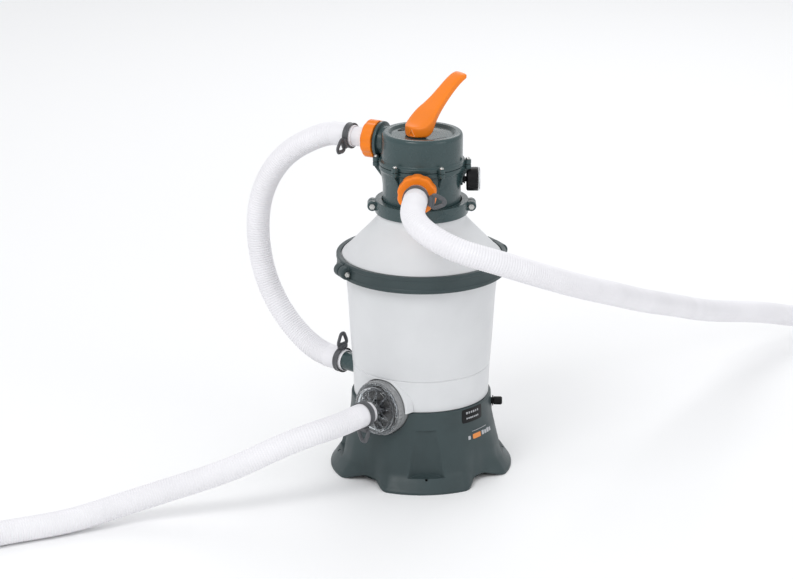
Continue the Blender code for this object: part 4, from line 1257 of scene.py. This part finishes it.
@dataclass
class Tank:
    """The tank, its dome and the two-part ring that clamps them."""

    flange: float = 0.131
    ring_low: float = 0.332
    ring_high: float = 0.359
    ring_radius: float = 0.136
    split: float = -64.0

    def body(self) -> Shell:
        """The tapered body, with a moulded line near its foot and a surround over the strainer."""
        corners = [(0.1083, 0.1256), (0.1104, 0.1752), (0.1094, 0.1760), (0.1094, 0.1768), (0.1109, 0.1780)]
        corners += [(0.1148, 0.2360), (0.1177, 0.2890), (0.1212, 0.3250), (0.1220, 0.3300), (0.1220, 0.3368)]
        corners += [(self.flange, 0.3368), (self.flange, 0.3425), (0.1180, 0.3425), (0.1177, 0.3240)]
        corners += [(0.1143, 0.2900), (0.1077, 0.2000), (0.0900, 0.1910), (0.0, 0.1910)]
        start = [(0.0, 0.1872), (0.1040, 0.1872), (0.1040, 0.1256)]
        ease = np.full(len(start) + len(corners), 0.0008)
        ease[4:8] = 0.0004
        ease[8:11] = 0.012
        return lathe(eased(start + corners, ease, 6, False), 256)

    def surround(self) -> Shell:
        """The raised rim over the strainer: an eased ring turned through the upper half."""
        corners = [(0.0456, 0.092), (0.0505, 0.092), (0.0486, 0.1075), (0.0456, 0.1085)]
        return lathe(eased(corners, 0.0012, 5), 96, -92.0, 184.0)

    def dome(self) -> Shell:
        """The dome: a shoulder inside the clamp, a slope of about 45 degrees and a neck."""
        corners = [(self.flange, 0.3445), (self.flange, 0.3547), (0.1272, 0.3547), (0.1268, 0.3590)]
        corners += [(0.1215, 0.3632), (0.1085, 0.3765), (0.0830, 0.4030), (0.0712, 0.4160), (0.0698, 0.4262)]
        corners += [(0.0623, 0.4268)]
        corners += [(0.0623, 0.4305), (0.0693, 0.4305), (0.0693, 0.4353), (0.0562, 0.4353), (0.0562, 0.4225)]
        corners += [(0.0665, 0.4190), (0.0795, 0.4005), (0.1050, 0.3740), (0.1187, 0.3595), (0.1190, 0.3445)]
        ease = np.full(len(corners), 0.0006)
        ease[3:8] = (0.0015, 0.0080, 0.0150, 0.0150, 0.0080)
        return lathe(eased(corners, ease, 14), 256)

    def half_ring(self, first: float) -> Shell:
        """Half of the clamping ring, a channel with a groove round its outer face.

        Args:
            first: bearing where it starts.

        Returns:
            The mesh, facing out.
        """
        low, high, outer = self.ring_low, self.ring_high, self.ring_radius
        corners = [(0.1237, low), (outer - 0.0005, low), (outer, low + 0.0010), (outer, low + 0.0060)]
        corners += [(outer - 0.0010, low + 0.0068), (outer - 0.0010, high - 0.0068), (outer, high - 0.0060)]
        corners += [(outer, high - 0.0010), (outer - 0.0005, high), (0.1288, high), (0.1288, high - 0.0040)]
        corners += [(0.1322, high - 0.0040), (0.1322, low + 0.0040), (0.1237, low + 0.0040)]
        return lathe(eased(corners, 0.0006, 4), 128, first - 90.0 + 0.25, 179.5)

    def joint(self, end: float, radius: float, way: float = 1.0) -> Place:
        """Across the ring at a bearing, at the middle of its height."""
        middle = (self.ring_low + self.ring_high) / 2
        return Place.along(bearing(end, radius, middle), bearing(end + 90.0) * way)

    def lug(self, end: float, way: float) -> Shell:
        """The rounded lug at an end of a half ring, with a raised boss round its bolt.

        Args:
            end: bearing of the ring's joint.
            way: 1 or -1, the side of the joint that it stands on.

        Returns:
            The mesh, facing out.
        """
        spot = self.joint(end, 0.1375, way)
        boss = pin(0.0105, 0.0013, 0.0150, 0.0016, 40).at(spot)
        rim = sleeve(0.0042, 0.0068, 0.0140, 0.0160, 0.0004, 32).at(spot)
        web = brick((0.0250, 0.0060, 0.0150), 0.0015, (0.0, 0.0, 0.0086))
        return boss + rim + web.at(self.joint(end, 0.1340, way))

    def bolt(self, end: float) -> Shell:
        """A bolt across the ring's joint: a domed head, a shank and a hexagon nut.

        Args:
            end: bearing of the joint.

        Returns:
            The mesh, facing out.
        """
        head = [(0.0, -0.0195), (0.0030, -0.0192), (0.0044, -0.0178), (0.0044, -0.0153), (0.0026, -0.0153)]
        head += [(0.0026, 0.0240), (0.0, 0.0243)]
        hexagon = bearing(60.0 * np.arange(6), 0.0046)[:, :2]
        nut = extruded(eased(hexagon, 0.0004, 3), 0.0163, 0.0203, 0.0004)
        return (lathe(eased(head, 0.0005, 4, False), 32) + nut).at(self.joint(end, 0.1395))

    def build(self) -> None:
        """Makes the tank's pieces."""
        body = Piece("tank_wall", self.body(), Finish.TANK, nodes=("tank_body",), sharp=25.0)
        body.cut(pin(0.0458, 0.0850, 0.1700, 0.0005, 96).at(pump_place()), outlet_hole())
        Piece("strainer_surround", self.surround().at(pump_place()), Finish.TANK)
        Piece("tank_top", self.dome(), Finish.TANK, nodes=("tank_dome",), sharp=30.0)
        for side, first in (("front", self.split), ("rear", self.split + 180.0)):
            half = self.half_ring(first) + self.lug(first, 1.0) + self.lug(first + 180.0, -1.0)
            Piece(f"ring_{side}", half, Finish.BASE, nodes=(f"tank_clamp_{side}",))
        for hand, end in (("left", self.split), ("right", self.split + 180.0)):
            Piece(f"ring_bolt_{hand}", self.bolt(end), Finish.STEEL, nodes=(f"tank_bolt_{hand}",))


# ---------------------------------------------------------------- valve


@dataclass
class Valve:
    """The multiport valve: body, cover, neck clamp, screws and lever."""

    screws: int = 6
    boss_circle: float = 0.0725
    boss_first: float = 24.5
    clamp_height: float = 0.4375
    clamp_radius: float = 0.0740

    def boss_bearings(self) -> Array:
        """Bearings of the screw bosses."""
        return self.boss_first + 360.0 / self.screws * np.arange(self.screws)

    def bosses(self, low: float, high: float) -> Shell:
        """The screw bosses round a flange, from one height to another."""
        boss = pin(0.0054, low, high, 0.0007, 32)
        spots = bearing(self.boss_bearings(), self.boss_circle)
        return joined(boss.at(Place(spot, np.eye(3))) for spot in spots)

    def webs(self) -> Shell:
        """Small ribs under each boss, tapering down the body."""
        outline = eased([(0.0600, 0.4800), (0.0630, 0.4810), (0.0760, 0.4992), (0.0600, 0.4996)], 0.0008, 4)
        rib = extruded(outline, -0.0013, 0.0013, 0.0005)
        outs = [bearing(degrees) for degrees in self.boss_bearings()]
        return joined(rib.at(Place(np.zeros(3), np.stack([out, UP, np.cross(out, UP)]))) for out in outs)

    def body(self) -> Shell:
        """The lower body, flaring to its flange, with a neck for each side port and the gauge's boss."""
        corners = [(0.0132, 0.4377), (0.0693, 0.4377), (0.0693, 0.4433), (0.0618, 0.4442)]
        corners += [(0.0618, 0.4750), (0.0663, 0.4970), (0.0683, 0.4993), (0.0683, 0.5058)]
        corners += [(0.0580, 0.5058), (0.0575, 0.4470), (0.0132, 0.4470)]
        ease = 1e-4 * vector(6, 8, 8, 15, 100, 30, 10, 8, 6, 6, 6)
        drum = lathe(eased(corners, ease, 8), 192)
        port = [(0.0147, 0.0580), (0.0262, 0.0580), (0.0258, 0.0640), (0.0234, 0.0655)]
        port += [(0.0234, 0.0790), (0.0226, 0.0828), (0.0147, 0.0828)]
        neck = lathe(eased(port, 0.0006), 72)
        necks = [neck.at(port_place(degrees, RETURN_HEIGHT)) for degrees in (RETURN_BEARING, WASTE_BEARING)]
        boss = [(0.0063, 0.0585), (0.0110, 0.0585), (0.0098, 0.0646), (0.0063, 0.0646)]
        boss = lathe(eased(boss, 0.0006), 48).at(port_place(GAUGE_BEARING, GAUGE_HEIGHT))
        return joined([drum, *necks, boss])

    def cover(self) -> Shell:
        """The cover: a drum with a rounded rim and a dished top, and the neck of its own port."""
        corners = [(0.0082, 0.5476), (0.0605, 0.5476), (0.0610, 0.5066), (0.0683, 0.5066)]
        corners += [(0.0683, 0.5122), (0.0662, 0.5135), (0.0645, 0.5148), (0.0645, 0.5520)]
        corners += [(0.0632, 0.5560), (0.0600, 0.5578), (0.0530, 0.5576), (0.0500, 0.5548)]
        corners += [(0.0482, 0.5526), (0.0300, 0.5518), (0.0082, 0.5518)]
        ease = 1e-4 * vector(6, 6, 6, 8, 10, 10, 12, 20, 25, 25, 15, 12, 12, 30, 6)
        drum = lathe(eased(corners, ease, 8), 192)
        neck = [(0.0116, 0.0600), (0.0233, 0.0600), (0.0233, 0.0688), (0.0299, 0.0691), (0.0299, 0.0736)]
        neck += [(0.0233, 0.0740), (0.0233, 0.0796), (0.0116, 0.0796)]
        return drum + lathe(eased(neck, 0.0006), 72).at(port_place(FEED_BEARING, FEED_HEIGHT))

    def shade_slots(self) -> Shell:
        """Two lens-shaped black insets in the dished top, one each side of the lever, painted shade for the
        cover's two recessed slots: arcs 1 - t^2 high.
        """
        turn = np.linspace(-1.0, 1.0, 40)
        arch = 0.0075 * (1 - turn**2)
        ahead = np.stack([0.0185 * turn, 0.0385 + arch], axis=-1)
        back = np.stack([0.0185 * turn[::-1], 0.0385 - 0.25 * arch[::-1]], axis=-1)[1:-1]
        inset = extruded(np.concatenate([ahead, back])[::-1], 0.5510, 0.5531, 0.0002)
        outs = [bearing(degrees) for degrees in (LEVER_BEARING - 90.0, LEVER_BEARING + 90.0)]
        return joined(inset.at(Place(np.zeros(3), np.stack([np.cross(out, UP), out, UP]))) for out in outs)

    def screw(self, degrees: float) -> Shell:
        """A pan-head screw in a boss, its recess a shallow dish.

        Args:
            degrees: bearing of the boss.

        Returns:
            The mesh, facing out.
        """
        corners = [(0.0, 0.4998), (0.0018, 0.4998), (0.0018, 0.5138), (0.0037, 0.5138), (0.0037, 0.5152)]
        corners += [(0.0029, 0.5166), (0.0014, 0.5168), (0.0010, 0.5156), (0.0, 0.5156)]
        spot = Place(bearing(degrees, self.boss_circle), np.eye(3))
        return lathe(eased(corners, 0.0004, 4, False), 28).at(spot)

    def neck_half(self, way: float) -> Shell:
        """Half of the neck clamp: a channel, and a lug with a bolt boss at each end.

        Args:
            way: 1 for the rear half and -1 for the front one.

        Returns:
            The mesh, facing out.
        """
        low, high, outer = 0.4268, 0.4475, self.clamp_radius
        corners = [(0.0641, low), (outer - 0.0004, low), (outer, low + 0.0010), (outer, high - 0.0010)]
        corners += [(outer - 0.0004, high), (0.0636, high), (0.0636, high - 0.0033), (0.0703, high - 0.0033)]
        corners += [(0.0703, low + 0.0033), (0.0641, low + 0.0033)]
        made = [lathe(eased(corners, 0.0007, 4), 96, 90.0 * way - 90.0 + 0.25, 179.5)]
        for side in (-1.0, 1.0):
            spot = Place.along((side * 0.0782, 0.0, self.clamp_height), (0.0, way, 0.0))
            made.append(pin(0.0080, 0.0006, 0.0124, 0.0014, 40).at(spot))
            made.append(sleeve(0.0030, 0.0056, 0.0118, 0.0130, 0.0003, 32).at(spot))
            centre = (side * (self.clamp_radius + 0.0002), way * 0.0064, self.clamp_height)
            made.append(brick((0.0090, 0.0115, 0.0150), 0.0012, centre))
        return joined(made)

    def neck_bolt(self, side: float) -> Shell:
        """The neck clamp's bolt, its head to the rear and its nut in front.

        Args:
            side: 1 for the right one and -1 for the left one.

        Returns:
            The mesh, facing out.
        """
        corners = [(0.0, -0.0170), (0.0036, -0.0168), (0.0045, -0.0155), (0.0045, -0.0132)]
        corners += [(0.0024, -0.0132), (0.0024, 0.0163), (0.0, 0.0165)]
        hexagon = eased(bearing(60.0 * np.arange(6), 0.0048)[:, :2], 0.0004, 3)
        nut = extruded(hexagon, 0.0131, 0.0158, 0.0003)
        spot = Place.along((side * 0.0785, 0.0, self.clamp_height), (0.0, -1.0, 0.0))
        return (lathe(eased(corners, 0.0004, 4, False), 32) + nut).at(spot)

    def lever(self) -> Shell:
        """The lever and its hub: upright sections along its run, each a box with eased corners.

        A section is w |cos|^0.3 across and mid + h |sin|^0.3 high, with signs kept, where w, the top and
        the bottom follow smooth curves along the run, and the last sections draw in to round the tip.
        Each row below holds a section's distance from the pin, its half width, its top and its bottom.
        """
        sections = np.array(
            [
                (-0.0265, 0.0001, 0.0050, -0.0096),
                (-0.0255, 0.0068, 0.0055, -0.0097),
                (-0.0235, 0.0122, 0.0060, -0.0098),
                (-0.0200, 0.0174, 0.0067, -0.0098),
                (-0.0150, 0.0219, 0.0082, -0.0098),
                (-0.0080, 0.0253, 0.0125, -0.0098),
                (0.0000, 0.0262, 0.0192, -0.0050),
                (0.0090, 0.0240, 0.0275, 0.0090),
                (0.0180, 0.0206, 0.0345, 0.0190),
                (0.0300, 0.0173, 0.0443, 0.0305),
                (0.0450, 0.0148, 0.0578, 0.0440),
                (0.0600, 0.0137, 0.0700, 0.0570),
                (0.0720, 0.0136, 0.0762, 0.0660),
                (0.0790, 0.0140, 0.0772, 0.0708),
            ]
        )
        run, wide, top, base = sections.T
        at = np.concatenate([np.linspace(-0.0265, -0.0200, 16), np.linspace(-0.0190, 0.0775, 70)])
        width, high, low = (interpolated(at, run, values) for values in (wide, top, base))
        tip = np.radians(np.linspace(8.0, 88.0, 8))
        at = np.concatenate([at, 0.0775 + 0.0020 * np.sin(tip)])
        last = [interpolated(at[-8:], run, values) for values in (wide, top, base)]
        drawn = 1 - np.cos(tip)
        width = np.concatenate([width, last[0] - 0.0022 * drawn])
        high = np.concatenate([high, last[1] - 0.0016 * drawn])
        low = np.concatenate([low, last[2] + 0.0016 * drawn])
        angle = whole_turn(72)
        c = np.sign(np.cos(angle)) * np.abs(np.cos(angle)) ** 0.30
        s = np.sign(np.sin(angle)) * np.abs(np.sin(angle)) ** 0.30
        middle, half = (high + low) / 2, (high - low) / 2
        crown = 0.0012 * (1 - c**2)[None, :] * (s > 0)[None, :]
        x = width[:, None] * c[None, :]
        y = np.broadcast_to(at[:, None], x.shape)
        z = middle[:, None] + half[:, None] * s[None, :] + crown
        return skin(np.stack([x, y, z], axis=-1), caps=True).at(self.lever_place())

    def lever_place(self) -> Place:
        """At the lever's pin, with Y running out along the lever and Z up."""
        return Place.along((0.0, 0.0, PIVOT_HEIGHT), UP, bearing(LEVER_BEARING - 90.0))

    def pointer(self) -> Shell:
        """The pale arrow on the hub's face, standing just proud of it."""
        degrees = vector(3.0, 27.0, 15.0)
        height = vector(-0.0075, -0.0075, 0.0030)
        rows = [bearing(degrees, radius, height) for radius in (0.0285, 0.0259)]
        return skin(np.stack(rows), caps=True).at(self.lever_place())

    def build(self) -> None:
        """Makes the valve's pieces."""
        drum = self.body() + self.bosses(0.4994, 0.5058) + self.webs()
        Piece("valve_drum", drum, Finish.VALVE, nodes=("valve_body",))
        cover = self.cover() + self.bosses(0.5066, 0.5134)
        Piece("valve_top", cover, Finish.VALVE, nodes=("valve_cover",))
        # Black plates painted as the shade of the recessed slots in the cover's top.
        Piece("dish_painted_shade", self.shade_slots(), Finish.BLACK)
        for number, degrees in enumerate(self.boss_bearings(), start=1):
            node = f"cover_screw_{number}"
            Piece(f"pan_screw_{number}", self.screw(degrees), Finish.STEEL, nodes=(node,))
        for end, way in (("front", -1.0), ("rear", 1.0)):
            Piece(f"neck_ring_{end}", self.neck_half(way), Finish.VALVE, nodes=(f"neck_clamp_{end}",))
        for hand, side in (("left", -1.0), ("right", 1.0)):
            Piece(f"neck_screw_{hand}", self.neck_bolt(side), Finish.STEEL, nodes=(f"neck_bolt_{hand}",))
        Piece("lever", self.lever(), Finish.ORANGE, "lever", ("valve_handle",), 30.0)
        Piece("lever_pointer", self.pointer(), Finish.POINTER, "lever")


# ---------------------------------------------------------------- ports and gauge


@dataclass
class Union:
    """A lobed union nut on a port, and the hose tail that it holds."""

    prefix: str
    place: Place
    start: float
    end: float
    body: str
    radius: float = 0.0308
    neck: float = 0.0239
    lobes: int = 10

    def nut(self) -> Shell:
        """The nut: an eased ring whose outer face dips between its lobes."""
        low, high = self.start + 0.0002, self.start + 0.0198
        corners = [(self.neck, low), (self.radius - 0.0008, low), (self.radius, low + 0.0012)]
        corners += [(self.radius, high - 0.0030), (self.radius - 0.0022, high), (0.0183, high)]
        corners += [(0.0183, high - 0.0045), (self.neck, high - 0.0048)]
        outline = eased(corners, 0.0008, 6)
        face = np.clip((outline[:, 0] - 0.0265) / 0.0030, 0.0, 1.0)[:, None]
        dip = 0.0013 * wave(self.lobes, whole_turn(240)) ** 2
        return lathe(outline, 240, lobe=dip[None, :] * face)

    def tail(self) -> Shell:
        """The tail: a flange under the nut and a barbed spigot."""
        face, end = self.start + 0.0042, self.end - 0.0004
        corners = [(0.0122, face), (0.0229, face), (0.0229, self.start + 0.0143)]
        corners += [(0.0155, self.start + 0.0150), (0.0155, end - 0.0080), (0.0150, end - 0.0078)]
        corners += [(0.0155, end - 0.0030), (0.0148, end), (0.0122, end)]
        return lathe(eased(corners, 0.0005, 5), 72)

    def build(self) -> None:
        """Makes the nut and the tail."""
        nut, tail = self.nut().at(self.place), self.tail().at(self.place)
        Piece(f"{self.prefix}_union", nut, Finish.ORANGE, self.body, (f"{self.prefix}_nut",))
        Piece(f"{self.prefix}_spigot", tail, Finish.HOSE, nodes=(f"{self.prefix}_tail",))


@dataclass
class Gauge:
    """The pressure gauge: a black case, a dial with plain marks, a needle and a clear lens."""

    radius: float = 0.0189
    marks: int = 28
    reading: float = 270.0
    mark_circle: float = 0.0148

    def case(self) -> Shell:
        """The stem, its square nut and the round case, open to the dial."""
        corners = [(0.0, 0.0552), (0.0058, 0.0552), (0.0058, 0.0655), (0.0045, 0.0660), (0.0045, 0.0700)]
        corners += [(0.0165, 0.0702), (self.radius, 0.0722), (self.radius, 0.0888), (0.0173, 0.0888)]
        corners += [(0.0173, 0.0829), (0.0, 0.0829)]
        square = [(-0.0060, -0.0060), (0.0060, -0.0060), (0.0060, 0.0060), (-0.0060, 0.0060)]
        nut = extruded(eased(square, 0.0008, 4), 0.0656, 0.0682, 0.0004)
        return lathe(eased(corners, 0.0007, 5, False), 96) + nut

    def ticks(self) -> Shell:
        """Short bars round the dial from 0 to 270 degrees, every fourth one longer."""
        bars = []
        for k in range(self.marks):
            length, width = (0.0030, 0.00045) if k % 4 == 0 else (0.0016, 0.0003)
            bar = brick((length, width, 0.0002), 0.00005, (self.mark_circle, 0.0, 0.08335))
            bars.append(bar.at(WORLD.turned(225.0 - self.reading * k / (self.marks - 1))))
        return joined(bars)

    def needle(self) -> Shell:
        """The needle, pointing to the dial's zero, with a round hub."""
        corners = [(-0.0008, -0.0050), (0.0008, -0.0050), (0.0016, 0.0)]
        corners += [(0.0003, 0.0132), (-0.0003, 0.0132), (-0.0016, 0.0)]
        hand = extruded(eased(corners, 0.0002, 3), 0.0841, 0.0848, 0.0001)
        return hand + pin(0.0021, 0.0840, 0.0850, 0.0002, 24)

    def glass(self) -> Shell:
        """The lens, a disc with a sloped rim."""
        corners = [(0.0, 0.0895), (0.0188, 0.0895), (0.0188, 0.0906), (0.0168, 0.0919), (0.0, 0.0919)]
        return lathe(eased(corners, 0.0005, 4, False), 96)

    def build(self) -> None:
        """Makes the gauge's pieces."""
        spot = port_place(GAUGE_BEARING, GAUGE_HEIGHT)
        Piece("gauge_shell", self.case().at(spot), Finish.BLACK, nodes=("gauge_case",))
        Piece("gauge_dial", pin(0.0171, 0.0828, 0.0833, 0.0001, 72).at(spot), Finish.DIAL)
        Piece("gauge_marks", self.ticks().at(spot.turned(90.0)), Finish.BLACK)
        hand = self.needle().at(spot.turned(45.0))
        Piece("gauge_hand", hand, Finish.BLACK, "gauge_pointer", ("gauge_needle",))
        Piece("gauge_glass", self.glass().at(spot), Finish.CLEAR, nodes=("gauge_lens",))


def waste_cap() -> Shell:
    """The cap on the waste port, with ridges round its grip."""
    corners = [(0.0, 0.0835), (0.0239, 0.0835), (0.0239, 0.0747), (0.0274, 0.0747)]
    corners += [(0.0274, 0.0915), (0.0252, 0.0938), (0.0, 0.0938)]
    outline = eased(corners, 0.0008, 5, False)
    face = np.clip((outline[:, 0] - 0.0250) / 0.0020, 0.0, 1.0)[:, None] * (outline[:, 1] > 0.0745)[:, None]
    ridges = 0.0009 * wave(24, whole_turn(240))[None, :] * face
    return lathe(outline, 240, lobe=ridges).at(port_place(WASTE_BEARING, RETURN_HEIGHT))


def build_ports() -> None:
    """Makes both unions and the cap on the waste port."""
    supply, feed = port_place(RETURN_BEARING, RETURN_HEIGHT), port_place(FEED_BEARING, FEED_HEIGHT)
    Union("return", supply, 0.0793, 0.1300, "return_union").build()
    Union("pump_port", feed, 0.0763, 0.1430, "pump_union").build()
    Piece("ridged_waste_cap", waste_cap(), Finish.VALVE, "waste_plug", ("waste_cap",))


# ---------------------------------------------------------------- studio


@dataclass(frozen=True)
class Studio:
    """A pale flat floor, soft lamps and the camera."""

    eye: Triple = (-0.04, -4.2, 1.70)
    aim: Triple = (-0.04, 0.0, 0.295)
    lit: Triple = (0.0, 0.0, 0.3)
    focal: float = 125.6
    sensor: float = 36.0
    reach: float = 40.0

    def camera(self) -> None:
        """The camera, with a long lens."""
        data = bpy.data.cameras.new("camera")
        data.sensor_width = self.sensor
        data.lens = self.focal
        data.clip_end = 60.0
        made = bpy.data.objects.new("camera", data)
        bpy.context.scene.collection.objects.link(made)
        made.location = self.eye
        made.rotation_euler = (Vector(self.aim) - Vector(self.eye)).to_track_quat("-Z", "Y").to_euler()
        bpy.context.scene.camera = made

    def floor(self) -> None:
        """A flat sheet that reaches far past every view."""
        far = self.reach
        corners = [(-far, -far, 0.0), (far, -far, 0.0), (far, far, 0.0), (-far, far, 0.0)]
        data = bpy.data.meshes.new("floor")
        data.from_pydata(corners, [], [(0, 1, 2, 3)])
        made = Shader("pale_floor")
        made.set(Base_Color=(0.95, 0.95, 0.95, 1.0), Roughness=0.7)
        data.materials.append(made.material)
        floor = bpy.data.objects.new("floor", data)
        bpy.context.scene.collection.objects.link(floor)

    def lamp(self, name: str, place: Triple, size: float, watts: float) -> None:
        """A square soft lamp that looks at the pump.

        Args:
            name: its name.
            place: where it stands.
            size: length of its side.
            watts: its power.
        """
        data = bpy.data.lights.new(name, "AREA")
        data.size = size
        data.energy = watts
        made = bpy.data.objects.new(name, data)
        bpy.context.scene.collection.objects.link(made)
        made.location = place
        made.rotation_euler = (Vector(self.lit) - Vector(place)).to_track_quat("-Z", "Y").to_euler()

    def build(self) -> None:
        """Sets the world, the lamps, the floor and the camera."""
        world = bpy.data.worlds.new("studio")
        world.use_nodes = True
        sky = world.node_tree.nodes["Background"].inputs
        sky["Color"].default_value = (0.97, 0.98, 1.0, 1.0)
        sky["Strength"].default_value = 0.80
        bpy.context.scene.world = world
        bpy.context.scene.view_settings.view_transform = "Standard"
        self.lamp("key", (-1.6, -2.4, 3.2), 1.6, 46.0)
        self.lamp("fill", (2.8, -2.0, 1.8), 1.6, 12.0)
        self.lamp("back", (0.6, 2.8, 2.6), 2.0, 22.0)
        self.floor()
        self.camera()


def main() -> None:
    """Builds the pump over its frame, in order."""
    logging.basicConfig(level=logging.INFO, format="%(name)s: %(message)s")
    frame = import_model()
    Studio().build()
    Hoses().build()
    Base().build()
    Strainer().build()
    Tank().build()
    Valve().build()
    build_ports()
    Gauge().build()
    nodes = frame["nodes"]
    dress(nodes, Finish.BLACK, "impeller", "motor_housing", "motor_front_plate", "valve_rotor")
    dress(nodes, Finish.STEEL, "motor_rotor", "bearing_front", "bearing_rear", "valve_spring", "handle_pin")
    dress(nodes, Finish.SEAL, "shaft_seal", "tank_seal", "neck_seal", "rotor_gasket")
    dress(nodes, Finish.TANK, "standpipe", "lateral_hub")
    dress(nodes, Finish.COPPER, "motor_stator")


if __name__ == "__main__":
    main()
